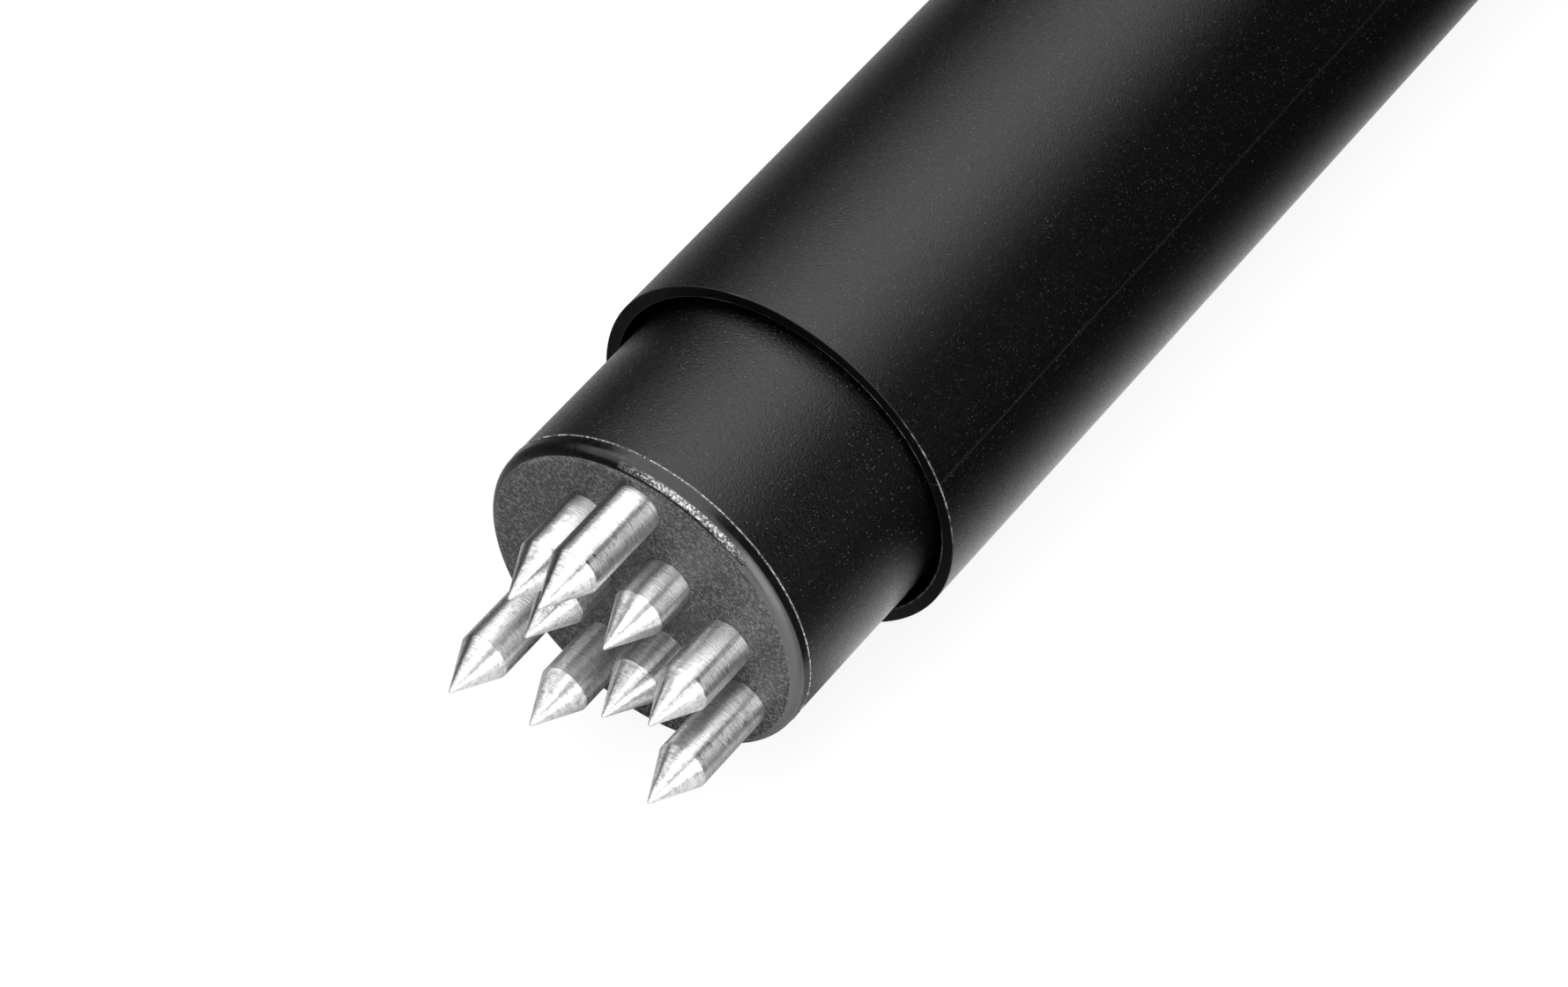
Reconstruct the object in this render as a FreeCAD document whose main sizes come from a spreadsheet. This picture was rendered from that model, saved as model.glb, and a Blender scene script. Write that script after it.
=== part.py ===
import FreeCAD, Part
import math
import os
import re
import Sketcher

# A hand cranked nutmeg grater, lying open on a table with its grating head drawn off.
#
# All sizes are in millimetres. The Y axis is the axis of the barrel: the spikes point along -Y, towards the
# grating head, and the crank is at the +Y end. The origin is the centre of the barrel's mouth, and +Z is up.
# Each piece is drawn along its own Y axis from y = 0, and its Placement carries it to its seat.

document = FreeCAD.newDocument("nutmeg_grater")

# ---------------------------------------------------------------------------------------------------------
# Driving sizes. Every name holds an underscore, which is how sheet_terms() knows a size from a function.
# ---------------------------------------------------------------------------------------------------------

SIZES = {
    # barrel, the black tube that is held in the hand
    "barrel_diameter": 30.0,
    "barrel_wall": 1.0,
    "barrel_length": 95.0,
    "mouth_round": 0.25,
    "bore_chamfer": 0.12,
    # end cap, plugged into the far end of the barrel
    "cap_spigot": 12.0,
    "cap_flange": 4.0,
    "cap_boss_height": 1.5,
    "cap_boss_diameter": 17.0,
    "cap_round": 1.6,
    "cap_boss_round": 0.6,
    # countersunk screws through a wall: three in the cap, three in the plunger
    "screw_shank": 2.5,
    "screw_head": 4.0,
    "screw_length": 5.5,
    "screw_slot_width": 0.5,
    "screw_slot_depth": 0.35,
    "cap_screw_inset": 6.0,
    "hub_screw_inset": 3.5,
    "cap_screw_angle": 90.0,
    "hub_screw_angle": 31.0,
    # brass bush and its thrust washer
    "bush_sleeve": 10.0,
    "bush_flange": 15.0,
    "bush_flange_thickness": 1.0,
    "thrust_washer_diameter": 13.0,
    "thrust_washer_thickness": 0.5,
    # spindle: hexagon inside the barrel, round journal in the bush, square for the arm, thread for the nut
    "hexagon_flats": 6.0,
    "collar_diameter": 10.5,
    "collar_thickness": 1.5,
    "journal_diameter": 7.0,
    "journal_stub": 1.0,
    "square_flats": 4.8,
    "square_pull": 0.2,
    "thread_diameter": 4.0,
    "thread_length": 3.6,
    # stop screw and washer on the spindle's inner end, which hold the plunger on
    "stop_washer_diameter": 11.0,
    "stop_washer_thickness": 1.0,
    "stop_screw_shank": 3.0,
    "stop_screw_length": 7.0,
    "stop_screw_head": 5.6,
    "stop_screw_head_height": 2.0,
    # retaining clip in its groove, just outside the bush
    "clip_diameter": 11.0,
    "clip_thickness": 0.7,
    "clip_groove_diameter": 5.4,
    # spring that pushes the plunger at the nut, and the washer behind it
    "spring_wire": 1.2,
    "spring_diameter": 18.4,
    "spring_turns": 9.0,
    "spring_washer_diameter": 20.0,
    "spring_washer_thickness": 1.0,
    # crank arm
    "crank_throw": 42.0,
    "arm_thickness": 2.5,
    "arm_hub_diameter": 16.0,
    "arm_end_diameter": 11.0,
    "arm_round": 0.5,
    "arm_washer_diameter": 8.4,
    "arm_washer_thickness": 0.6,
    "nut_flats": 7.0,
    "nut_height": 3.2,
    "nut_dome_diameter": 6.2,
    "nut_thread_depth": 4.2,
    # knob, turning on a pin riveted through the arm
    "knob_diameter": 18.0,
    "knob_length": 24.0,
    "knob_belly_height": 15.0,
    "knob_belly_radius": 34.0,
    "knob_end_round": 2.0,
    "knob_neck_round": 0.8,
    "knob_recess_diameter": 9.5,
    "knob_recess_depth": 2.4,
    "pin_rivet_diameter": 6.4,
    "pin_rivet_height": 0.9,
    "pin_shank_diameter": 4.0,
    "pin_shoulder_diameter": 5.0,
    "pin_head_diameter": 8.0,
    "pin_head_height": 1.2,
    "knob_washer_diameter": 10.0,
    "knob_washer_thickness": 0.6,
    # plunger, a cup that carries the spikes on its closed end
    "plunger_length": 45.25,
    "plunger_proud": 16.25,
    "plunger_wall": 2.3,
    "plunger_face_thickness": 6.5,
    "plunger_face_round": 0.95,
    "flash_setback": 1.6,
    "flash_height": 0.08,
    "flash_width": 0.24,
    "hub_thickness": 7.0,
    # spikes: three rings of three, the outer ones longest
    "spike_diameter": 3.9,
    "spike_cone": 3.95,
    "spike_tip_diameter": 0.2,
    "spike_seat": 5.0,
    "outer_spike_margin": 1.45,
    "outer_spike_height": 7.0,
    "outer_spike_angle": 91.0,
    "middle_spike_radius": 7.4,
    "middle_spike_height": 5.05,
    "middle_spike_angle": 126.0,
    "inner_spike_radius": 4.4,
    "inner_spike_height": 3.35,
    "inner_spike_angle": 57.5,
    # grating head, drawn off and lying in line with the barrel
    "head_parting": 84.0,
    "ledge_width": 1.4,
    "ledge_thickness": 1.2,
    "sleeve_wall": 0.4,
    "sleeve_seat": 8.0,
    "sleeve_reach": 8.0,
    "sleeve_chamfer": 0.12,
    "disc_thickness": 0.6,
    "tooth_height": 0.7,
    "tooth_foot_diameter": 2.7,
    "tooth_crown_diameter": 2.0,
    "tooth_hole_diameter": 1.6,
    "tooth_margin": 0.85,
    "tooth_ring_pitch": 3.4,
    "disc_ring_width": 1.7,
    "disc_ring_thickness": 2.4,
    "disc_ring_notch": 2.0,
    # lid under the head, which catches the gratings
    "lid_height": 8.0,
    "lid_floor": 1.8,
    "lid_round": 1.2,
    "lid_spigot": 5.5,
    "lid_spigot_wall": 1.7,
    "lid_ring_section": 1.1,
    # clearances
    "press_fit": 0.01,
    "thread_fit": 0.02,
    "running_fit": 0.05,
    "sliding_fit": 0.06,
    "sleeve_fit": 0.07,
    "plunger_gap": 0.75,
    "head_fit": 0.1,
    "lid_fit": 0.3,
    "ring_fit": 0.1,
    "end_float": 0.06,
    "tip_gap": 2.0,
}

sizes = document.addObject("Spreadsheet::Sheet", "sizes")
for row, (size_name, size) in enumerate(SIZES.items(), 1):
    sizes.set(f"A{row}", str(size))
    sizes.setAlias(f"A{row}", size_name)
document.recompute()


def sheet_terms(expression):
    """Put the sheet's name before each size in an expression."""
    return re.sub(r"\b[a-z]+(?:_[a-z]+)+\b", lambda found: "sizes." + found.group(0), expression)


def value(expression):
    """The number that an expression of sizes gives."""
    found = sizes.evalExpression(sheet_terms(str(expression)))
    return float(getattr(found, "Value", found))


def bind(item, prop, expression):
    """Tie one property to an expression of sizes."""
    item.setExpression(prop, sheet_terms(str(expression)))


# ---------------------------------------------------------------------------------------------------------
# Places along the axis that more than one piece shares, as expressions of the sizes
# ---------------------------------------------------------------------------------------------------------

BARREL_RADIUS = "(barrel_diameter / 2)"
BORE_RADIUS = f"({BARREL_RADIUS} - barrel_wall)"
PLUNGER_RADIUS = f"({BORE_RADIUS} - plunger_gap)"
PLUNGER_BORE_RADIUS = f"({PLUNGER_RADIUS} - plunger_wall)"
HEXAGON_RADIUS = "(hexagon_flats / 2 / cos(30))"

PLUNGER_BACK = "(plunger_length - plunger_proud)"
HUB_FRONT = f"({PLUNGER_BACK} - hub_thickness)"
SPINDLE_START = f"({HUB_FRONT} - end_float)"

CAP_START = "(barrel_length - cap_spigot)"
BUSH_START = f"({CAP_START} - bush_flange_thickness)"
BUSH_END = "(barrel_length + cap_flange + cap_boss_height)"
THRUST_START = f"({BUSH_START} - thrust_washer_thickness)"
COLLAR_START = f"({THRUST_START} - end_float - collar_thickness)"
SPRING_WASHER_START = f"({COLLAR_START} - spring_washer_thickness)"
CLIP_START = f"({BUSH_END} + end_float)"
ARM_START = f"({CLIP_START} + clip_thickness + thread_fit + journal_stub)"
ARM_END = f"({ARM_START} + arm_thickness)"
KNOB_START = f"({ARM_END} + knob_washer_thickness + end_float)"

# The crank rests with its knob on the table, which is as far below the axis as the barrel's side.
CRANK_DROP = "(asin((barrel_diameter - knob_diameter) / 2 / crank_throw) / 1deg)"
KNOB_ACROSS = f"(crank_throw * cos({CRANK_DROP}))"
KNOB_UP = "((knob_diameter - barrel_diameter) / 2)"

OUTER_SPIKE_REACH = "(plunger_proud + outer_spike_height + spike_cone)"
DISC_DEPTH = f"({OUTER_SPIKE_REACH} + tooth_height + tip_gap)"
HEAD_LENGTH = f"(lid_spigot + head_fit + disc_ring_thickness + disc_thickness + {DISC_DEPTH})"
HEAD_START = f"(0 - head_parting - {HEAD_LENGTH})"
DISC_RING_START = "(lid_spigot + head_fit)"
DISC_START = f"({DISC_RING_START} + disc_ring_thickness)"
LEDGE_START = f"({DISC_START} + disc_thickness)"
SLEEVE_RADIUS = f"({BORE_RADIUS} - sleeve_fit)"
LEDGE_RADIUS = f"({BORE_RADIUS} - ledge_width)"
LID_SPIGOT_RADIUS = f"({BORE_RADIUS} - lid_fit)"
LID_RING_RADIUS = f"({BORE_RADIUS} - ring_fit - lid_ring_section / 2)"

THIRDS = (0, 120, 240)


# ---------------------------------------------------------------------------------------------------------
# Ways of making a piece
# ---------------------------------------------------------------------------------------------------------

subparts = []


def origin_feature(body, role):
    """One of a body's own origin planes or axes."""
    return next(item for item in body.Origin.OriginFeatures if item.Role == role)


def new_body(label):
    """An empty body that becomes one sub-part."""
    body = document.addObject("PartDesign::Body", label)
    body.Label = label
    subparts.append(body)
    return body


def place(body, along, across="0", up="0", turn=None):
    """Carry a piece to its seat, turned about the Y axis by an angle in degrees where one is given."""
    if turn is not None:
        body.Placement.Rotation = FreeCAD.Rotation(FreeCAD.Vector(0, 1, 0), value(turn))
        bind(body, "Placement.Rotation.Angle", turn)
    bind(body, "Placement.Base.x", across)
    bind(body, "Placement.Base.y", along)
    bind(body, "Placement.Base.z", up)


def open_sketch(body, name, plane):
    """A sketch on one of the body's origin planes."""
    sketch = body.newObject("Sketcher::SketchObject", name)
    sketch.AttachmentSupport = (origin_feature(body, plane), [""])
    sketch.MapMode = "FlatFace"
    return sketch


# In a sketch, item -1 is the across axis, whose first point is the origin, and item -2 is the along axis.
ORIGIN = (-1, 1)


def hold(sketch, kind, first, second, name, expression):
    """A distance from one sketch point to another, tied to an expression."""
    index = sketch.addConstraint(Sketcher.Constraint(kind, *first, *second, value(expression)))
    sketch.renameConstraint(index, name)
    bind(sketch, f"Constraints.{name}", expression)


def hold_radius(sketch, item, name, expression):
    """The radius of a sketch's circle or arc, tied to an expression."""
    index = sketch.addConstraint(Sketcher.Constraint("Radius", item, value(expression)))
    sketch.renameConstraint(index, name)
    bind(sketch, f"Constraints.{name}", expression)


def pin_point(sketch, point, across, along, name):
    """Fix one sketch point at (across, along) from the origin. A plain 0 puts it on the axis itself."""
    if across == "0":
        sketch.addConstraint(Sketcher.Constraint("PointOnObject", *point, -2))
    else:
        hold(sketch, "DistanceX", ORIGIN, point, f"across_{name}", across)
    if along == "0":
        sketch.addConstraint(Sketcher.Constraint("PointOnObject", *point, -1))
    else:
        hold(sketch, "DistanceY", ORIGIN, point, f"along_{name}", along)


def straight_outline(body, name, corners, plane="XY_Plane"):
    """A closed outline of straight sides through corners, each given as (across, along)."""
    sketch = open_sketch(body, name, plane)
    places = [FreeCAD.Vector(value(across), value(along), 0) for across, along in corners]
    count = len(places)
    for index in range(count):
        sketch.addGeometry(Part.LineSegment(places[index], places[(index + 1) % count]), False)
    for index in range(count):
        sketch.addConstraint(Sketcher.Constraint("Coincident", index, 2, (index + 1) % count, 1))
    for index, (across, along) in enumerate(corners):
        pin_point(sketch, (index, 1), across, along, f"corner{index}")
    return sketch


def revolve(body, name, sketch):
    """Turn a sketch once round the body's Y axis."""
    turned_shape = body.newObject("PartDesign::Revolution", name)
    turned_shape.Profile = sketch
    turned_shape.ReferenceAxis = (sketch, ["V_Axis"])
    turned_shape.Angle = 360
    sketch.Visibility = False
    return turned_shape


def turned(label, corners):
    """A lathe-turned piece: an outline of (radius, along) corners turned about its own Y axis."""
    body = new_body(label)
    revolve(body, "turned_form", straight_outline(body, "half_section", corners))
    return body


def ring(label, inner, outer, thickness):
    """A washer or short sleeve."""
    return turned(label, [(inner, "0"), (outer, "0"), (outer, thickness), (inner, thickness)])


def primitive(body, kind, name, position, rotation=None, **bound):
    """A PartDesign primitive with its sizes and position bound."""
    feature = body.newObject(f"PartDesign::{kind}", name)
    for prop, expression in bound.items():
        bind(feature, prop, expression)
    if rotation is not None:
        feature.Placement.Rotation = rotation
    for axis, expression in zip("xyz", position):
        bind(feature, f"Placement.Base.{axis}", expression)
    return feature


# A primitive stands along its own Z axis. This turn lays it along +Y.
ALONG_Y = FreeCAD.Rotation(FreeCAD.Vector(1, 0, 0), -90)


def pointing(angle):
    """The turn that lays a primitive along the radius at an angle, measured from +X towards +Z."""
    return FreeCAD.Rotation(FreeCAD.Vector(0, 0, 1), radial(angle))


def radial(angle):
    """The direction of the radius at an angle, measured from +X towards +Z."""
    return FreeCAD.Vector(math.cos(math.radians(angle)), 0, math.sin(math.radians(angle)))


def around(body, name, features, count):
    """Repeat features evenly round the body's Y axis."""
    pattern = body.newObject("PartDesign::PolarPattern", name)
    pattern.Originals = features
    pattern.Axis = (origin_feature(body, "Y_Axis"), [""])
    pattern.Angle = 360
    pattern.Occurrences = count
    body.Tip = pattern
    return pattern


def rim(radius, along):
    """A test that finds the circular edge of one radius at one place along the Y axis."""
    def found(edge):
        curve = edge.Curve
        if not isinstance(curve, Part.Circle):
            return False
        return abs(curve.Radius - value(radius)) < 1e-4 and abs(curve.Center.y - value(along)) < 1e-4
    return found


def dress(body, kind, name, prop, expression, *tests):
    """A fillet or chamfer on every edge that one of the tests finds."""
    document.recompute()
    base = body.Tip
    edges = enumerate(base.Shape.Edges, 1)
    names = [f"Edge{number}" for number, edge in edges if any(test(edge) for test in tests)]
    if not names:
        raise RuntimeError(f"{body.Label}: {name} finds no edge")
    feature = body.newObject(f"PartDesign::{kind}", name)
    feature.Base = (base, names)
    bind(feature, prop, expression)
    return feature


def fillet(body, name, radius, *tests):
    """A fillet on the edges that the tests find."""
    return dress(body, "Fillet", name, "Radius", radius, *tests)


def chamfer(body, name, size, *tests):
    """A chamfer on the edges that the tests find."""
    return dress(body, "Chamfer", name, "Size", size, *tests)


def slot(body, name, along, depth, length):
    """A screwdriver slot, centred on the body's axis, that starts at along and runs depth towards +Y."""
    position = ("0 - screw_slot_width / 2", along, f"0 - {length} / 2")
    return primitive(
        body, "SubtractiveBox", name, position, Length="screw_slot_width", Width=depth, Height=length
    )


# ---------------------------------------------------------------------------------------------------------
# Countersunk screws, which lie along a radius with their heads just under an outside surface
# ---------------------------------------------------------------------------------------------------------

SCREW_HEAD_HEIGHT = "((screw_head - screw_shank) / 2)"


def head_level(surface):
    """The radius of a screw's flat head, low enough for its rim to stay under a round surface."""
    return f"(sqrt({surface} ^ 2 - (screw_head / 2 + thread_fit) ^ 2) - thread_fit)"


def screw_spot(radius, along, angle):
    """The place on the axis of a radial screw that lies at one radius."""
    return (f"{radius} * cos({angle})", along, f"{radius} * sin({angle})")


def tapped_holes(body, name, surface, along, angle):
    """Three radial holes for the shanks of screws whose heads lie under a surface."""
    start = f"({head_level(surface)} - screw_length - thread_fit)"
    bore = primitive(
        body, "SubtractiveCylinder", f"{name}_bore", screw_spot(start, along, angle), pointing(value(angle)),
        Radius="screw_shank / 2 + thread_fit", Height="screw_length + screw_head",
    )
    around(body, f"{name}_bores", [bore], len(THIRDS))


def countersunk_holes(body, name, surface, along, angle):
    """Three radial holes, countersunk for screws whose heads lie under the surface."""
    tapped_holes(body, name, surface, along, angle)
    level = head_level(surface)
    sink = primitive(
        body, "SubtractiveCone", f"{name}_sink",
        screw_spot(f"({level} - {SCREW_HEAD_HEIGHT})", along, angle), pointing(value(angle)),
        Radius1="screw_shank / 2 + thread_fit", Radius2="screw_head / 2 + thread_fit",
        Height=SCREW_HEAD_HEIGHT,
    )
    around(body, f"{name}_sinks", [sink], len(THIRDS))
    mouth = primitive(
        body, "SubtractiveCylinder", f"{name}_mouth", screw_spot(level, along, angle), pointing(value(angle)),
        Radius="screw_head / 2 + thread_fit", Height="screw_head",
    )
    around(body, f"{name}_mouths", [mouth], len(THIRDS))


def countersunk_screw(label, surface, along, angle):
    """One countersunk screw. Its own Y axis points outwards along the radius."""
    shank = "(screw_shank / 2)"
    head = "(screw_head / 2)"
    neck = f"(screw_length - {SCREW_HEAD_HEIGHT})"
    body = turned(label, [
        ("0", "0"), (shank, "0"), (shank, neck), (head, "screw_length"), ("0", "screw_length"),
    ])
    slot(body, "driver_slot", "screw_length - screw_slot_depth", "screw_slot_depth * 2", "screw_head * 2")
    body.Placement.Rotation = FreeCAD.Rotation(FreeCAD.Vector(0, 1, 0), radial(value(angle)))
    across, along, up = screw_spot(f"({head_level(surface)} - screw_length)", along, angle)
    place(body, along, across, up)


# ---------------------------------------------------------------------------------------------------------
# Housing: barrel, end cap, bush, thrust washer and cap screws
# ---------------------------------------------------------------------------------------------------------

CAP_SCREW_PLACE = "(barrel_length - cap_screw_inset)"


def make_barrel():
    """The tube. A thin bright edge runs round its bore at the mouth."""
    body = ring("barrel", BORE_RADIUS, BARREL_RADIUS, "barrel_length")
    fillet(body, "mouth_edge", "min(mouth_round; barrel_wall * 0.4)", rim(BARREL_RADIUS, "0"))
    chamfer(body, "bore_edge", "min(bore_chamfer; barrel_wall * 0.3)", rim(BORE_RADIUS, "0"))
    countersunk_holes(body, "cap_screw", BARREL_RADIUS, CAP_SCREW_PLACE, "cap_screw_angle")


def make_end_cap():
    """The plug in the barrel's far end, bored for the bush and tapped for its three screws."""
    spigot = f"({BORE_RADIUS} - sleeve_fit)"
    bore = "(bush_sleeve / 2)"
    boss = "(cap_boss_diameter / 2)"
    shoulder = "(cap_spigot + cap_flange)"
    top = f"({shoulder} + cap_boss_height)"
    body = turned("end_cap", [
        (bore, "0"), (spigot, "0"), (spigot, "cap_spigot"), (BARREL_RADIUS, "cap_spigot"),
        (BARREL_RADIUS, shoulder), (boss, shoulder), (boss, top), (bore, top),
    ])
    fillet(body, "outer_edge", "min(cap_round; cap_flange * 0.6)", rim(BARREL_RADIUS, shoulder))
    fillet(body, "boss_edge", "min(cap_boss_round; cap_boss_height * 0.6)", rim(boss, top))
    tapped_holes(body, "cap_screw", BARREL_RADIUS, f"({CAP_SCREW_PLACE} - {CAP_START})", "cap_screw_angle")
    place(body, CAP_START)


def make_bush():
    """The brass bush that the spindle turns in, and the washer that takes the spring's push."""
    bore = "(journal_diameter / 2 + running_fit)"
    sleeve = "(bush_sleeve / 2 - press_fit)"
    length = f"({BUSH_END} - {BUSH_START})"
    body = turned("shaft_bush", [
        (bore, "0"), ("bush_flange / 2", "0"), ("bush_flange / 2", "bush_flange_thickness"),
        (sleeve, "bush_flange_thickness"), (sleeve, length), (bore, length),
    ])
    place(body, BUSH_START)
    washer = ring("thrust_washer", bore, "thrust_washer_diameter / 2", "thrust_washer_thickness")
    place(washer, THRUST_START)


def make_cap_screws():
    """Three screws through the barrel's wall into the cap."""
    for number, step in enumerate(THIRDS, 1):
        angle = f"(cap_screw_angle + {step})"
        countersunk_screw(f"cap_screw_{number}", BARREL_RADIUS, CAP_SCREW_PLACE, angle)


# ---------------------------------------------------------------------------------------------------------
# Drive: spindle, stops, spring, crank arm, nut and knob pin
# ---------------------------------------------------------------------------------------------------------

def make_spindle():
    """A hexagonal bar with a collar, a journal, a square and a threaded end."""
    body = new_body("spindle")
    collar_start = f"({COLLAR_START} - {SPINDLE_START})"
    collar_end = f"({collar_start} + collar_thickness)"
    groove_start = f"({CLIP_START} - {SPINDLE_START})"
    groove_end = f"({groove_start} + clip_thickness + thread_fit)"
    shoulder = f"({ARM_START} - {SPINDLE_START})"
    square_end = f"({shoulder} + arm_thickness - square_pull)"
    tip = f"({shoulder} + arm_thickness + arm_washer_thickness + thread_length)"
    journal = "(journal_diameter / 2)"
    groove = "(clip_groove_diameter / 2)"
    thread = "(thread_diameter / 2)"
    primitive(
        body, "AdditivePrism", "hexagon", ("0", "0", "0"), ALONG_Y,
        Circumradius=HEXAGON_RADIUS, Height=collar_start,
    )
    round_part = straight_outline(body, "round_part", [
        ("0", collar_start), ("(collar_diameter / 2)", collar_start), ("(collar_diameter / 2)", collar_end),
        (journal, collar_end), (journal, groove_start), (groove, groove_start), (groove, groove_end),
        (journal, groove_end), (journal, shoulder), (thread, shoulder), (thread, tip), ("0", tip),
    ])
    revolve(body, "journal", round_part)
    half = "square_flats / 2"
    primitive(
        body, "AdditiveBox", "square", (f"0 - {half}", shoulder, f"0 - {half}"),
        Length="square_flats", Width=f"{square_end} - {shoulder}", Height="square_flats",
    )
    primitive(
        body, "SubtractiveCylinder", "tapped_hole", ("0", "0", "0"), ALONG_Y,
        Radius="stop_screw_shank / 2 + thread_fit", Height="stop_screw_length",
    )
    place(body, SPINDLE_START, turn=CRANK_DROP)


def make_stops():
    """The washer and screw on the spindle's inner end, and the clip outside the bush."""
    shank = "(stop_screw_shank / 2)"
    bore = f"({shank} + running_fit)"
    washer = ring("stop_washer", bore, "stop_washer_diameter / 2", "stop_washer_thickness")
    washer_start = f"({SPINDLE_START} - stop_washer_thickness)"
    place(washer, washer_start)
    head = "(stop_screw_head / 2)"
    end = "(stop_screw_head_height + stop_washer_thickness + stop_screw_length - end_float)"
    screw = turned("stop_screw", [
        ("0", "0"), (head, "0"), (head, "stop_screw_head_height"),
        (shank, "stop_screw_head_height"), (shank, end), ("0", end),
    ])
    fillet(screw, "head_edge", "stop_screw_head_height * 0.3", rim(head, "0"))
    slot(screw, "driver_slot", "0 - screw_slot_depth", "screw_slot_depth * 2.5", "stop_screw_head * 2")
    place(screw, f"({washer_start} - stop_screw_head_height)")
    groove = "(clip_groove_diameter / 2 + press_fit)"
    clip = ring("retaining_clip", groove, "clip_diameter / 2", "clip_thickness")
    gap = "clip_groove_diameter * 0.8"
    primitive(
        clip, "SubtractiveBox", "clip_opening", (f"0 - {gap} / 2", "0 - clip_thickness", "0"),
        Length=gap, Width="clip_thickness * 3", Height="clip_diameter",
    )
    place(clip, CLIP_START, turn=CRANK_DROP)


def make_spring():
    """The compression spring between the plunger's hub and the washer on the spindle's collar."""
    bore = f"({HEXAGON_RADIUS} + sliding_fit)"
    washer = ring("spring_washer", bore, "spring_washer_diameter / 2", "spring_washer_thickness")
    place(washer, SPRING_WASHER_START)
    body = new_body("return_spring")
    sketch = open_sketch(body, "wire_section", "XY_Plane")
    centre = FreeCAD.Vector(value("(spring_diameter - spring_wire) / 2"), value("spring_wire / 2"), 0)
    sketch.addGeometry(Part.Circle(centre, FreeCAD.Vector(0, 0, 1), value("spring_wire / 2")), False)
    pin_point(sketch, (0, 3), "(spring_diameter - spring_wire) / 2", "spring_wire / 2", "centre")
    hold_radius(sketch, 0, "wire_radius", "spring_wire / 2")
    coil = body.newObject("PartDesign::AdditiveHelix", "coil")
    coil.Profile = sketch
    coil.ReferenceAxis = (sketch, ["V_Axis"])
    coil.Mode = "height-turns-angle"
    coil.Turns = value("spring_turns")
    bind(coil, "Turns", "spring_turns")
    bind(coil, "Height", f"{SPRING_WASHER_START} - {PLUNGER_BACK} - spring_wire - 2 * end_float")
    place(body, f"({PLUNGER_BACK} + end_float)")


def make_arm():
    """The flat crank arm: two round ends joined by tangent sides, with a square and a round hole."""
    body = new_body("crank_arm")
    sketch = open_sketch(body, "arm_outline", "XZ_Plane")
    throw = value("crank_throw")
    hub = value("arm_hub_diameter") / 2
    end = value("arm_end_diameter") / 2
    lean = math.acos((hub - end) / throw)
    upward = FreeCAD.Vector(0, 0, 1)
    hub_arc = Part.ArcOfCircle(Part.Circle(FreeCAD.Vector(0, 0, 0), upward, hub), lean, 2 * math.pi - lean)
    end_arc = Part.ArcOfCircle(Part.Circle(FreeCAD.Vector(throw, 0, 0), upward, end), -lean, lean)
    sketch.addGeometry(hub_arc, False)
    sketch.addGeometry(end_arc, False)
    sketch.addGeometry(Part.LineSegment(end_arc.EndPoint, hub_arc.StartPoint), False)
    sketch.addGeometry(Part.LineSegment(hub_arc.EndPoint, end_arc.StartPoint), False)
    for joined in ((2, 1, 1, 2), (2, 2, 0, 1), (3, 1, 0, 2), (3, 2, 1, 1)):
        sketch.addConstraint(Sketcher.Constraint("Tangent", *joined))
    sketch.addConstraint(Sketcher.Constraint("Coincident", 0, 3, *ORIGIN))
    pin_point(sketch, (1, 3), "crank_throw", "0", "end_centre")
    hold_radius(sketch, 0, "hub_radius", "arm_hub_diameter / 2")
    hold_radius(sketch, 1, "end_radius", "arm_end_diameter / 2")
    pad = body.newObject("PartDesign::Pad", "strip")
    pad.Profile = sketch
    pad.Reversed = True
    bind(pad, "Length", "arm_thickness")
    hole = "square_flats + 2 * thread_fit"
    corner = f"0 - ({hole}) / 2"
    primitive(
        body, "SubtractiveBox", "square_hole", (corner, "0 - arm_thickness", corner),
        Length=hole, Width="arm_thickness * 3", Height=hole,
    )
    primitive(
        body, "SubtractiveCylinder", "pin_hole", ("crank_throw", "0 - arm_thickness", "0"), ALONG_Y,
        Radius="pin_shank_diameter / 2 + press_fit", Height="arm_thickness * 3",
    )

    def outer_edge(edge):
        """The outline's edges on the two flat faces, which are not those of the holes."""
        across = edge.BoundBox.XMax - edge.BoundBox.XMin
        lies_flat = edge.BoundBox.YMax - edge.BoundBox.YMin < value("arm_thickness / 2")
        clear_of_square = across > value(f"({hole}) * 1.01")
        rounded = isinstance(edge.Curve, Part.Circle)
        larger_than_hole = rounded and edge.Curve.Radius > value("pin_shank_diameter")
        return lies_flat and (clear_of_square or larger_than_hole)

    fillet(body, "arm_edge", "min(arm_round; arm_thickness * 0.4)", outer_edge)
    place(body, ARM_START, turn=CRANK_DROP)


def make_nut():
    """The domed nut that clamps the arm, on its washer."""
    bore = "(thread_diameter / 2 + running_fit)"
    washer = ring("arm_washer", bore, "arm_washer_diameter / 2", "arm_washer_thickness")
    place(washer, ARM_END)
    body = new_body("crank_nut")
    primitive(
        body, "AdditivePrism", "hexagon", ("0", "0", "0"), ALONG_Y,
        Circumradius="nut_flats / 2 / cos(30)", Height="nut_height",
    )
    primitive(
        body, "AdditiveSphere", "dome", ("0", "nut_height", "0"), Radius="nut_dome_diameter / 2",
    )
    primitive(
        body, "SubtractiveCylinder", "thread_hole", ("0", "0 - nut_height", "0"), ALONG_Y,
        Radius="thread_diameter / 2 + thread_fit", Height="nut_height + nut_thread_depth",
    )
    place(body, f"({ARM_END} + arm_washer_thickness)", turn=CRANK_DROP)


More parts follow.
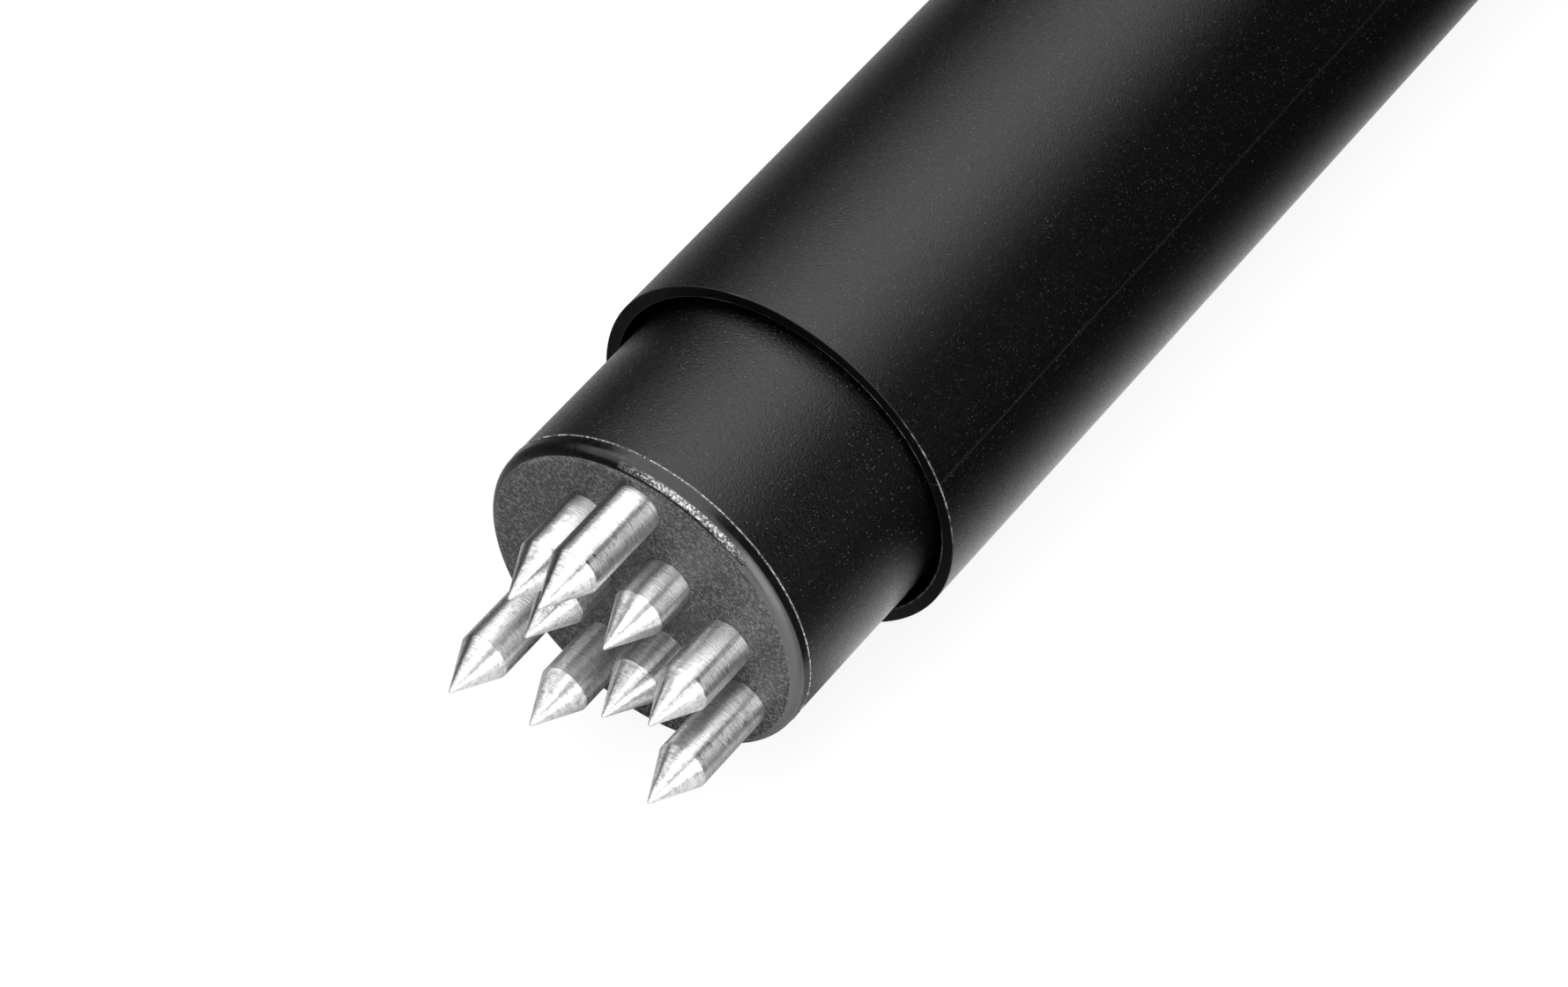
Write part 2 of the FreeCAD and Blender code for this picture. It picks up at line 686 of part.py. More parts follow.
def make_knob_pin():
    """The stepped pin riveted through the arm, and the washer under the knob."""
    rivet = "(pin_rivet_diameter / 2)"
    shank = "(pin_shank_diameter / 2)"
    shoulder = "(pin_shoulder_diameter / 2)"
    head = "(pin_head_diameter / 2)"
    arm_top = "(pin_rivet_height + arm_thickness)"
    head_start = f"({arm_top} + knob_washer_thickness + 2 * end_float + knob_length - knob_recess_depth)"
    head_end = f"({head_start} + pin_head_height)"
    body = turned("knob_pin", [
        ("0", "0"), (rivet, "0"), (rivet, "pin_rivet_height"), (shank, "pin_rivet_height"), (shank, arm_top),
        (shoulder, arm_top), (shoulder, head_start), (head, head_start), (head, head_end), ("0", head_end),
    ])
    fillet(body, "rivet_edge", "pin_rivet_height * 0.6", rim(rivet, "0"))
    fillet(body, "head_edge", "pin_head_height * 0.4", rim(head, head_end))
    place(body, f"({ARM_START} - pin_rivet_height)", KNOB_ACROSS, KNOB_UP)
    washer = ring(
        "knob_washer", f"({shoulder} + running_fit)", "knob_washer_diameter / 2", "knob_washer_thickness"
    )
    place(washer, ARM_END, KNOB_ACROSS, KNOB_UP)


def make_knob():
    """The knob: a barrel-shaped grip with a recess for the pin's head."""
    body = new_body("knob_grip")
    sketch = open_sketch(body, "half_section", "XY_Plane")
    bore = "(pin_shoulder_diameter / 2 + running_fit)"
    recess = "(knob_recess_diameter / 2)"
    recess_floor = "(knob_length - knob_recess_depth)"
    belly = value("knob_belly_radius")
    centre = FreeCAD.Vector(value("knob_diameter / 2") - belly, value("knob_belly_height"), 0)

    def side(height):
        """How far the grip's side stands from the axis at a height."""
        return centre.x + math.sqrt(belly ** 2 - (height - centre.y) ** 2)

    top = FreeCAD.Vector(side(value("knob_length")), value("knob_length"), 0)
    foot = FreeCAD.Vector(side(0), 0, 0)
    start = math.atan2(foot.y - centre.y, foot.x - centre.x)
    finish = math.atan2(top.y - centre.y, top.x - centre.x)
    circle = Part.Circle(centre, FreeCAD.Vector(0, 0, 1), belly)
    sketch.addGeometry(Part.ArcOfCircle(circle, start, finish), False)
    inner = [(recess, "knob_length"), (recess, recess_floor), (bore, recess_floor), (bore, "0")]
    spots = [top] + [FreeCAD.Vector(value(across), value(along), 0) for across, along in inner] + [foot]
    for first, second in zip(spots, spots[1:]):
        sketch.addGeometry(Part.LineSegment(first, second), False)
    for line in range(1, 5):
        sketch.addConstraint(Sketcher.Constraint("Coincident", line, 2, line + 1, 1))
    sketch.addConstraint(Sketcher.Constraint("Coincident", 0, 2, 1, 1))
    sketch.addConstraint(Sketcher.Constraint("Coincident", 5, 2, 0, 1))
    for line, (across, along) in enumerate(inner, 2):
        pin_point(sketch, (line, 1), across, along, f"corner{line}")
    hold_radius(sketch, 0, "belly_radius", "knob_belly_radius")
    hold(sketch, "DistanceX", (0, 3), ORIGIN, "belly_across", "knob_belly_radius - knob_diameter / 2")
    hold(sketch, "DistanceY", ORIGIN, (0, 3), "belly_height", "knob_belly_height")
    hold(sketch, "DistanceY", ORIGIN, (0, 2), "top_height", "knob_length")
    sketch.addConstraint(Sketcher.Constraint("PointOnObject", 0, 1, -1))
    revolve(body, "turned_form", sketch)
    fillet(body, "end_edge", "knob_end_round", rim(top.x, "knob_length"))
    fillet(body, "neck_edge", "knob_neck_round", rim(foot.x, "0"))
    place(body, KNOB_START, KNOB_ACROSS, KNOB_UP)


# ---------------------------------------------------------------------------------------------------------
# Plunger: cup, hub, hub screws and spikes
# ---------------------------------------------------------------------------------------------------------

OUTER_SPIKE_RADIUS = f"({PLUNGER_RADIUS} - outer_spike_margin - spike_diameter / 2)"
SPIKE_RINGS = {
    "outer_spike": (OUTER_SPIKE_RADIUS, "outer_spike_height", "outer_spike_angle"),
    "middle_spike": ("middle_spike_radius", "middle_spike_height", "middle_spike_angle"),
    "inner_spike": ("inner_spike_radius", "inner_spike_height", "inner_spike_angle"),
}
HUB_SCREW_PLACE = f"({PLUNGER_BACK} - hub_screw_inset)"


def make_plunger_cup():
    """The cup. A fine moulding line runs round it just behind the rounded edge of its face."""
    flash = f"({PLUNGER_RADIUS} + flash_height)"
    body = turned("plunger_cup", [
        ("0", "0"), (PLUNGER_RADIUS, "0"), (PLUNGER_RADIUS, "(flash_setback - flash_width / 2)"),
        (flash, "flash_setback"), (PLUNGER_RADIUS, "(flash_setback + flash_width / 2)"),
        (PLUNGER_RADIUS, "plunger_length"), (PLUNGER_BORE_RADIUS, "plunger_length"),
        (PLUNGER_BORE_RADIUS, "plunger_face_thickness"), ("0", "plunger_face_thickness"),
    ])
    fillet(body, "face_edge", "min(plunger_face_round; flash_setback * 0.6)", rim(PLUNGER_RADIUS, "0"))
    for name, (radius, _height, angle) in SPIKE_RINGS.items():
        hole = primitive(
            body, "SubtractiveCylinder", f"{name}_hole",
            (f"{radius} * cos({angle})", "0 - spike_diameter", f"{radius} * sin({angle})"), ALONG_Y,
            Radius="spike_diameter / 2 + press_fit", Height="spike_seat + spike_diameter",
        )
        around(body, f"{name}_holes", [hole], len(THIRDS))
    screw_place = "(plunger_length - hub_screw_inset)"
    countersunk_holes(body, "hub_screw", PLUNGER_RADIUS, screw_place, "hub_screw_angle")
    place(body, "0 - plunger_proud")


def make_hub():
    """The disc in the plunger's open end, whose hexagonal hole slides on the spindle."""
    outside = f"({PLUNGER_BORE_RADIUS} - sliding_fit)"
    body = ring("plunger_hub", "thread_diameter / 2", outside, "hub_thickness")
    primitive(
        body, "SubtractivePrism", "hexagonal_hole", ("0", "0 - hub_thickness", "0"), ALONG_Y,
        Circumradius=f"({HEXAGON_RADIUS} + sliding_fit)", Height="hub_thickness * 3",
    )
    # The hub turns with the crank, and its screws keep their own angle.
    own_angle = f"(hub_screw_angle + {CRANK_DROP})"
    tapped_holes(body, "hub_screw", PLUNGER_RADIUS, "(hub_thickness - hub_screw_inset)", own_angle)
    place(body, HUB_FRONT, turn=CRANK_DROP)


def make_hub_screws():
    """Three screws through the plunger's wall into the hub."""
    for number, step in enumerate(THIRDS, 1):
        angle = f"(hub_screw_angle + {step})"
        countersunk_screw(f"hub_screw_{number}", PLUNGER_RADIUS, HUB_SCREW_PLACE, angle)


def make_spikes():
    """Nine turned spikes. Each points along -Y from its blind hole in the plunger's face."""
    shank = "(spike_diameter / 2)"
    tip = "(spike_tip_diameter / 2)"
    for name, (radius, height, angle) in SPIKE_RINGS.items():
        shoulder = "spike_cone"
        tail = f"(spike_cone + {height} + spike_seat)"
        for number, step in enumerate(THIRDS, 1):
            body = turned(f"{name}_{number}", [
                ("0", "0"), (tip, "0"), (shank, shoulder), (shank, tail), ("0", tail),
            ])
            turn = f"({angle} + {step})"
            start = f"(0 - plunger_proud - {height} - spike_cone)"
            place(body, start, f"{radius} * cos({turn})", f"{radius} * sin({turn})")


# ---------------------------------------------------------------------------------------------------------
# Grating head and lid
# ---------------------------------------------------------------------------------------------------------

def make_head_shell():
    """The head's tube, as wide as the barrel, with a ledge inside that the grating disc lies against."""
    ledge_end = f"({LEDGE_START} + ledge_thickness)"
    body = turned("head_shell", [
        (BORE_RADIUS, "0"), (BARREL_RADIUS, "0"), (BARREL_RADIUS, HEAD_LENGTH), (BORE_RADIUS, HEAD_LENGTH),
        (BORE_RADIUS, ledge_end), (LEDGE_RADIUS, ledge_end), (LEDGE_RADIUS, LEDGE_START),
        (BORE_RADIUS, LEDGE_START),
    ])
    edge = "min(mouth_round; barrel_wall * 0.4)"
    fillet(body, "rim_edges", edge, rim(BARREL_RADIUS, "0"), rim(BARREL_RADIUS, HEAD_LENGTH))
    place(body, HEAD_START)


def make_head_sleeve():
    """The thin steel sleeve that stands out of the head and slips into the barrel round the plunger."""
    inner = f"({SLEEVE_RADIUS} - sleeve_wall)"
    length = "(sleeve_seat + sleeve_reach)"
    body = ring("head_sleeve", inner, SLEEVE_RADIUS, length)
    chamfer(body, "lead_in", "min(sleeve_chamfer; sleeve_wall * 0.4)", rim(SLEEVE_RADIUS, length))
    place(body, "0 - head_parting - sleeve_seat")


def make_grating_disc():
    """The steel disc, with a burred hole at each tooth. The burrs face the spikes."""
    body = ring("grating_disc", "tooth_hole_diameter / 2", f"({BORE_RADIUS} - sleeve_fit)", "disc_thickness")
    outer = f"({LEDGE_RADIUS} - tooth_margin - tooth_foot_diameter / 2)"
    for name, radius, count in (
        ("inner_teeth", f"({outer} - 2 * tooth_ring_pitch)", 6),
        ("middle_teeth", f"({outer} - tooth_ring_pitch)", 12),
        ("outer_teeth", outer, 18),
    ):
        burr = primitive(
            body, "AdditiveCone", f"{name}_burr", (radius, "disc_thickness / 2", "0"), ALONG_Y,
            Radius1="tooth_foot_diameter / 2", Radius2="tooth_crown_diameter / 2",
            Height="disc_thickness / 2 + tooth_height",
        )
        around(body, f"{name}_burrs", [burr], count)
        hole = primitive(
            body, "SubtractiveCylinder", f"{name}_hole", (radius, "0 - disc_thickness", "0"), ALONG_Y,
            Radius="tooth_hole_diameter / 2", Height="disc_thickness * 3 + tooth_height",
        )
        around(body, f"{name}_holes", [hole], count)
    place(body, f"({HEAD_START} + {DISC_START})")


def make_disc_ring():
    """The ring that holds the disc against its ledge, with two notches for a key."""
    inner = f"({BORE_RADIUS} - disc_ring_width)"
    body = ring("disc_ring", inner, f"({BORE_RADIUS} - sleeve_fit)", "disc_ring_thickness")
    depth = "disc_ring_thickness / 2"
    notch = primitive(
        body, "SubtractiveBox", "key_notch", ("0", f"0 - {depth}", "0 - disc_ring_notch / 2"),
        Length="barrel_diameter", Width="disc_ring_thickness", Height="disc_ring_notch",
    )
    around(body, "key_notches", [notch], 2)
    place(body, f"({HEAD_START} + {DISC_RING_START})")


def make_lid():
    """The lid, a shallow cup whose spigot plugs the bottom of the head, and its sealing ring."""
    cup = f"({LID_SPIGOT_RADIUS} - lid_spigot_wall)"
    top = "(lid_height + lid_spigot)"
    groove_floor = f"({LID_RING_RADIUS} - lid_ring_section / 2 - press_fit)"
    middle = "(lid_height + lid_spigot / 2)"
    groove_low = f"({middle} - lid_ring_section / 2 - press_fit)"
    groove_high = f"({middle} + lid_ring_section / 2 + press_fit)"
    body = turned("lid", [
        ("0", "0"), (BARREL_RADIUS, "0"), (BARREL_RADIUS, "lid_height"), (LID_SPIGOT_RADIUS, "lid_height"),
        (LID_SPIGOT_RADIUS, groove_low), (groove_floor, groove_low), (groove_floor, groove_high),
        (LID_SPIGOT_RADIUS, groove_high), (LID_SPIGOT_RADIUS, top), (cup, top), (cup, "lid_floor"),
        ("0", "lid_floor"),
    ])
    fillet(body, "bottom_edge", "min(lid_round; lid_height * 0.4)", rim(BARREL_RADIUS, "0"))
    place(body, f"({HEAD_START} - lid_height)")
    seal = document.addObject("Part::Torus", "lid_ring")
    seal.Label = "lid_ring"
    subparts.append(seal)
    bind(seal, "Radius1", LID_RING_RADIUS)
    bind(seal, "Radius2", "lid_ring_section / 2")
    seal.Placement.Rotation = ALONG_Y
    bind(seal, "Placement.Base.y", f"{HEAD_START} - lid_height + {middle}")


make_barrel()
make_end_cap()
make_bush()
make_cap_screws()
make_spindle()
make_stops()
make_spring()
make_arm()
make_nut()
make_knob_pin()
make_knob()
make_plunger_cup()
make_hub()
make_hub_screws()
make_spikes()
make_head_shell()
make_head_sleeve()
make_grating_disc()
make_disc_ring()
make_lid()
document.recompute()

# ---------------------------------------------------------------------------------------------------------
# Checks, then one STEP file for each sub-part
# ---------------------------------------------------------------------------------------------------------

for item in document.Objects:
    if "Invalid" in item.State or "Error" in item.State:
        raise RuntimeError(f"{item.Label} failed: {item.State}")
    base = getattr(item, "BaseFeature", None)
    cuts = item.TypeId.startswith("PartDesign::Subtractive")
    if cuts and base is not None and item.Shape.Volume > base.Shape.Volume - 1e-6:
        raise RuntimeError(f"{item.Label} cuts nothing")

for subpart in subparts:
    shape = subpart.Shape
    if shape.isNull() or not shape.isValid() or len(shape.Solids) != 1:
        raise RuntimeError(f"{subpart.Label} is not one valid solid")

os.makedirs("parts", exist_ok=True)
for subpart in subparts:
    subpart.Shape.exportStep(os.path.join("parts", subpart.Label + ".step"))
print(f"{len(subparts)} sub-parts written")
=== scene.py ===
# %% [markdown]
# # A hand cranked nutmeg grater, open for loading
# The grater is a black tube of 30 mm across. A sprung plunger looks out of its mouth and carries nine
# turned steel spikes that hold a nutmeg. The crank is on the far end, and the grating head lies drawn off
# in front. The solids of the CAD model are loaded first, in metres, the tube's axis along Y and its mouth
# at the origin. The pieces below give them a finish or stand in for them with a finer mesh.

# %% Load the frame
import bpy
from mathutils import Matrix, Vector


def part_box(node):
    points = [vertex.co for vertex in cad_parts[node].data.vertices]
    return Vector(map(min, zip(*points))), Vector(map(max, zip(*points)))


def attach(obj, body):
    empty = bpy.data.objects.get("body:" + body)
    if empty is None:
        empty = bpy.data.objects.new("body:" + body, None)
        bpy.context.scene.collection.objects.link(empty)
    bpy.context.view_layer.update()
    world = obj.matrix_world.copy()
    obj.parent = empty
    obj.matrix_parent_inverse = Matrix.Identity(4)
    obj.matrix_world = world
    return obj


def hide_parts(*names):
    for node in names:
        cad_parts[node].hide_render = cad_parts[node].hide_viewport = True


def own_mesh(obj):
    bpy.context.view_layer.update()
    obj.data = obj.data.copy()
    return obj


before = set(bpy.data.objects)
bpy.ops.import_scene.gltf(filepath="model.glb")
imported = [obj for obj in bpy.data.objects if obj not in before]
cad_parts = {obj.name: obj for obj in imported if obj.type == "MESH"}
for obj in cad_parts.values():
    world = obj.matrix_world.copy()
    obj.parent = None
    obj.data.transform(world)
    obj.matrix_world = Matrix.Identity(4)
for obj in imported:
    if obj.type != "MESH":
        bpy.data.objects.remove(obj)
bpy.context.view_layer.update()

import math
import bmesh
import bpy
from mathutils import Matrix, Vector

MM = 0.001


def show(item):
    """Link an object to the scene."""
    bpy.context.scene.collection.objects.link(item)


# %% [markdown]
# ## The camera
# A long lens a good way off keeps the tube's sides nearly parallel. It is aimed by three unit vectors, to
# the right of the picture, down it and into it. A camera looks along its own -Z with +Y up, so these, two
# of them turned round, are the columns of its matrix.

# %% Camera
EYE = Vector((165.1, -230.9, 325.1)) * MM
TO_RIGHT = Vector((0.8143, 0.5802, 0.0))
DOWN = Vector((0.4392, -0.6166, -0.653))
INTO = TO_RIGHT.cross(DOWN).normalized()

camera = bpy.data.objects.new("camera", bpy.data.cameras.new("camera"))
show(camera)
axes = Matrix((TO_RIGHT, -DOWN, -INTO)).transposed()
camera.matrix_world = Matrix.Translation(EYE) @ axes.to_4x4()
camera.data.sensor_width = 36.0
camera.data.lens = 140.7
camera.data.clip_start = 0.01
camera.data.clip_end = 20.0
bpy.context.scene.camera = camera
print("camera looks along", [round(part, 3) for part in INTO])

# %% [markdown]
# ## Outlines for the lathe
# Nearly every piece is round, so it is turned like work on a lathe: an outline of corners, each a distance
# from the axis and a place along it, is swept round the Y axis. Real parts have no sharp corners, so a
# corner may carry a rounding radius, which becomes a short arc, and a share of wear, which the finish can
# show. Beside an arc one more point keeps its soft shading from running over the whole flat.

# %% Rounded outlines
GUARD = 0.04
EDGE_WEAR = 0.3
WEAR_OF_RAISED = 0.35


def rounded(corners, steps=5):
    """Points (radius, along, wear) of a closed outline. A corner is (radius, along[, rounding[, wear]])."""
    points = []
    count = len(corners)
    for index, corner in enumerate(corners):
        here = Vector(corner[:2])
        rounding = corner[2] if len(corner) > 2 else 0.0
        wear = corner[3] if len(corner) > 3 else EDGE_WEAR
        if rounding <= 0.0:
            points.append((here, 0.0))
            continue
        before = (Vector(corners[index - 1][:2]) - here).normalized()
        after = (Vector(corners[(index + 1) % count][:2]) - here).normalized()
        half = before.angle(after) / 2
        centre = here + (before + after).normalized() * rounding / math.sin(half)
        reach = rounding / math.tan(half)
        start, finish = here + before * reach - centre, here + after * reach - centre
        turn = start.angle_signed(finish)
        for step in range(steps + 1):
            spoke = start.copy()
            spoke.rotate(Matrix.Rotation(-turn * step / steps, 2))
            points.append((centre + spoke, wear))
    return guarded(points)


def guarded(points):
    """Add a point on each long straight beside a rounding, so that its shading stays off the flat."""
    made = []
    for (here, wear), (then, other) in zip(points, points[1:] + points[:1]):
        made.append((here.x, here.y, wear))
        run = then - here
        if run.length > 4 * GUARD:
            way = run.normalized() * GUARD
            if wear:
                made.append((here.x + way.x, here.y + way.y, 0.0))
            if other:
                made.append((then.x - way.x, then.y - way.y, 0.0))
    return made


print("points of a rounded washer:", len(rounded([(5, 0, 1), (8, 0, 1), (8, 3), (5, 3)])))

# %% [markdown]
# ## The lathe
# The outline is closed, because each piece is a solid with a wall that can be seen from inside. The sweep
# makes one quad for each step of the outline and of the turn, and a point on the axis becomes one pole
# vertex. A UV map in millimetres, round the piece and along its outline, keeps turning marks at their real
# size, and an attribute says where the piece is worn and where a glint is painted on it.

# %% Lathe
def finished(name, mesh, material, body, nodes, smooth=28.0):
    """Make an object of a mesh, give it its finish, and let it stand for CAD nodes on one body."""
    piece = bpy.data.objects.new(name, mesh)
    show(piece)
    mesh.shade_smooth()
    if smooth:
        mesh.set_sharp_from_angle(angle=math.radians(smooth))
    if material:
        mesh.materials.clear()
        mesh.materials.append(material)
    if body:
        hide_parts(*nodes)
        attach(piece, body)
    print(f"{name}: {len(mesh.polygons)} faces")
    return piece


def built(name, work):
    """The mesh of what was built in work."""
    mesh = bpy.data.meshes.new(name)
    work.to_mesh(mesh)
    work.free()
    return mesh


def angles_round(count, fine=(), width=0.0):
    """Angles of one full turn, with a few more close to each place in fine."""
    found = {round(360.0 * step / count, 5) for step in range(count)}
    for place in fine:
        found |= {round((place + width * share) % 360.0, 5) for share in (-1, -0.6, -0.3, 0, 0.3, 0.6, 1)}
    return [math.radians(angle) for angle in sorted(found)]


def lathe(name, corners, segments=128, steps=5, fine=(), width=0.0, lift=None):
    """A mesh swept round the Y axis from a closed outline in mm. lift(angle, radius, along) raises it."""
    outline = rounded(corners, steps)
    turns = angles_round(segments, fine, width)
    largest = max(radius for radius, _, _ in outline)
    work = bmesh.new()
    uv = work.loops.layers.uv.new("UVMap")
    edge = work.verts.layers.float.new("wear")
    rings = []
    travelled = [0.0]
    for before, after in zip(outline, outline[1:] + outline[:1]):
        travelled.append(travelled[-1] + math.hypot(after[0] - before[0], after[1] - before[1]))
    for radius, along, wear in outline:
        if radius < 1e-6:
            pole = work.verts.new((0, along * MM, 0))
            rings.append([pole] * len(turns))
            continue
        ring = []
        for angle in turns:
            raised = lift(angle, radius, along) if lift else 0.0
            out = radius + raised
            vertex = work.verts.new((out * math.cos(angle) * MM, along * MM, out * math.sin(angle) * MM))
            vertex[edge] = max(wear, raised * WEAR_OF_RAISED)
            ring.append(vertex)
        rings.append(ring)
    total = len(turns)
    for row in range(len(rings)):
        first, second = rings[row], rings[(row + 1) % len(rings)]
        for spot in range(total):
            after = (spot + 1) % total
            kept = {}
            for vertex, step, place in ((first[spot], spot, row), (first[after], spot + 1, row),
                                        (second[after], spot + 1, row + 1), (second[spot], spot, row + 1)):
                kept.setdefault(vertex, (step, place))
            if len(kept) < 3:
                continue
            face = work.faces.new(list(kept))
            for loop, (step, place) in zip(face.loops, kept.values()):
                angle = turns[step % total] + (2 * math.pi if step == total else 0.0)
                loop[uv].uv = (angle * largest, travelled[place])
    bmesh.ops.recalc_face_normals(work, faces=work.faces)
    return built(name, work)


# %% [markdown]
# ## Wiring nodes by hand
# Materials and Geometry Nodes trees are both graphs of nodes. One helper adds a node, sets its options and
# plugs in its inputs: a plain value is set on the socket, and another node's output is linked to it. It
# serves both kinds of graph, which keeps the recipes short.

# %% Node helpers
def in_use(sockets, name):
    """The socket of a name that the node uses with its present options."""
    return next(socket for socket in sockets if socket.enabled and socket.name == name)


def add(tree, kind, inputs=None, **options):
    """Add a node, set its options, set or link its inputs by name or by number, and give its outputs."""
    made = tree.nodes.new(kind)
    for option, value in options.items():
        setattr(made, option, value)
    for key, value in (inputs or {}).items():
        socket = made.inputs[key] if isinstance(key, int) else in_use(made.inputs, key)
        if isinstance(value, bpy.types.NodeSocket):
            tree.links.new(value, socket)
        else:
            socket.default_value = value
    return made.outputs


def calc(tree, operation, *values, clamp=False):
    """A math node on one to three values or sockets."""
    values = dict(enumerate(values))
    return add(tree, "ShaderNodeMath", values, operation=operation, use_clamp=clamp)[0]


def times(tree, *pair):
    """Two values or sockets multiplied."""
    return calc(tree, "MULTIPLY", *pair)


def spread(tree, value, low, high, start=0.0, end=1.0):
    """Map a value from start..end to low..high, held at both ends."""
    return add(tree, "ShaderNodeMapRange", {"Value": value, "From Min": start, "From Max": end, "To Min": low,
                                            "To Max": high})["Result"]


def noise(tree, place, scale, detail, roughness=0.5):
    """Noise at a place."""
    return add(tree, "ShaderNodeTexNoise", {"Vector": place, "Scale": scale, "Detail": detail,
                                            "Roughness": roughness})["Fac"]


def shader_group(name, values, outputs):
    """A shader node group that takes a Vector and named values, and the sockets of its two end nodes."""
    group = bpy.data.node_groups.new(name, "ShaderNodeTree")
    group.interface.new_socket("Vector", in_out="INPUT", socket_type="NodeSocketVector")
    for label, value in values.items():
        socket = group.interface.new_socket(label, in_out="INPUT", socket_type="NodeSocketFloat")
        socket.default_value = value
    for label in outputs:
        group.interface.new_socket(label, in_out="OUTPUT", socket_type="NodeSocketFloat")
    return group, group.nodes.new("NodeGroupInput").outputs, group.nodes.new("NodeGroupOutput").inputs


# %% [markdown]
# ## Shared effect: moulded grain
# Black plastic parts come out of a spark eroded mould, which leaves a fine even grain all over them. It is
# two sizes of noise, a coarse leathery one and a fine sandy one, added as heights for a bump. The coarse
# one is also given as a mask, by which a finish varies its roughness a little.

# %% Grain group
def make_grain():
    group, given, result = shader_group("moulded_grain", {"Cell mm": 0.4, "Fine share": 0.5},
                                        ["Height", "Mask"])
    scale = calc(group, "DIVIDE", 1000.0, given["Cell mm"])
    coarse = noise(group, given["Vector"], scale, 3.0, 0.55)
    fine = noise(group, given["Vector"], times(group, scale, 3.1), 2.0)
    share = times(group, fine, given["Fine share"])
    group.links.new(calc(group, "ADD", coarse, share), result["Height"])
    group.links.new(coarse, result["Mask"])
    return group


GRAIN = make_grain()
print("grain group:", len(GRAIN.nodes), "nodes")

# %% [markdown]
# ## Shared effect: dust and painted glints
# A satin black tube never looks perfectly clean: specks of pale dust sit on it, and the same pale specks
# stand in for the tiny glints of its grain, as painted glints. Cells of a Voronoi pattern give one point
# each, a random value per cell decides whether there is a speck in it, and its distance makes it a small
# dot.

# %% Dust and glint group
SMALLEST_SPECK = 0.02


# The specks are partly dust and partly painted glints of the grain.
def make_dust_and_glints():
    group, given, result = shader_group("dust_specks", {"Spacing mm": 0.17, "Size": 0.26, "Share": 0.4},
                                        ["Mask"])
    scale = calc(group, "DIVIDE", 1000.0, given["Spacing mm"])
    cells = add(group, "ShaderNodeTexVoronoi", {"Vector": given["Vector"], "Scale": scale, "Randomness": 1.0})
    pick = add(group, "ShaderNodeSeparateColor", {0: cells["Color"]})
    there = calc(group, "LESS_THAN", pick[0], given["Share"])
    size = calc(group, "ADD", times(group, pick[1], given["Size"]), SMALLEST_SPECK)
    near = calc(group, "SUBTRACT", 1.0, calc(group, "DIVIDE", cells["Distance"], size), clamp=True)
    group.links.new(times(group, near, there), result["Mask"])
    return group


DUST_AND_GLINTS = make_dust_and_glints()
print("dust group:", len(DUST_AND_GLINTS.nodes), "nodes")

# %% [markdown]
# ## Shared effect: turning marks
# A turned steel bar shows fine rings round it where the tool went, and faint streaks along it from the
# drawing of the bar. On the piece's UV map in millimetres the first is noise stretched round the piece, and
# the second is noise stretched along it. A piece that repeats reads a seed from its own attribute, so that
# no two spikes are marked alike.

# %% Turning group
SEED_STEP = 37.0
STREAKS_ALONG = 0.16
BLOTCHES_ROUND, BLOTCHES_ALONG = 1.9, 1.6


def make_turning():
    group, given, result = shader_group(
        "turning_marks", {"Seed": 0.0, "Ring length mm": 1.1, "Rings per mm": 9.0, "Streaks per mm": 3.0},
        ["Rings", "Streaks", "Blotch"])
    split = add(group, "ShaderNodeSeparateXYZ", {0: given["Vector"]})
    seed = times(group, given["Seed"], SEED_STEP)

    def stretched(label, round_scale, along_scale, detail):
        place = add(group, "ShaderNodeCombineXYZ", {0: times(group, split[0], round_scale),
                                                    1: times(group, split[1], along_scale), 2: seed})
        group.links.new(noise(group, place[0], 1.0, detail, 0.6), result[label])

    per_length = calc(group, "DIVIDE", 1.0, given["Ring length mm"])
    stretched("Rings", per_length, given["Rings per mm"], 4.0)
    stretched("Streaks", given["Streaks per mm"], STREAKS_ALONG, 3.0)
    stretched("Blotch", BLOTCHES_ROUND, BLOTCHES_ALONG, 4.0)
    return group


TURNING = make_turning()
print("turning group:", len(TURNING.nodes), "nodes")

# %% [markdown]
# ## A material to build on
# Each finish starts from one Principled shader and a Texture Coordinate node. Two helpers mix colours and
# feed the shader. What is the same all over a surface is set straight on the shader.

# %% Material helpers
def new_material(name, **plain):
    """A material, its tree, its shader's inputs and its coordinates. Plain values go on the shader."""
    material = bpy.data.materials.new(name)
    material.use_nodes = True
    tree = material.node_tree
    shader = tree.nodes["Principled BSDF"].inputs
    for label, value in plain.items():
        shader[label.replace("_", " ")].default_value = value
    return material, tree, shader, add(tree, "ShaderNodeTexCoord")


def mix_colours(tree, factor, *pair):
    """Mix two colours by a factor. A colour is a grey, three numbers, or the output of a node."""
    pair = [(colour,) * 3 if isinstance(colour, float) else colour for colour in pair]
    first, second = [(*colour, 1.0) if isinstance(colour, tuple) else colour for colour in pair]
    return add(tree, "ShaderNodeMix", {0: factor, 6: first, 7: second}, data_type="RGBA")[2]


def surface(tree, shader, colour, rough, height, strength, distance_mm):
    """Feed a colour, a roughness and, through a bump, a height to the shader."""
    node = add(tree, "ShaderNodeBump", {"Height": height, "Strength": strength, "Distance": distance_mm * MM})
    for label, value in (("Base Color", colour), ("Roughness", rough), ("Normal", node["Normal"])):
        tree.links.new(value, shader[label])


# %% [markdown]
# ## Finish: black moulded plastic
# The tube and its plunger are moulded in black. The grain breaks the reflection of the soft light into fine
# sparkle, and pale specks show dust and painted glints of the grain. Worn edges, and painted glints and
# reflections on edges, are paled, broken up into sparkle, or evenly where the share is slight. The plunger's
# grain is coarser, like leather, its blasted face has pale sand mixed in, partly as painted sparkle, and its
# collar and the tube's cut mouth are smooth.

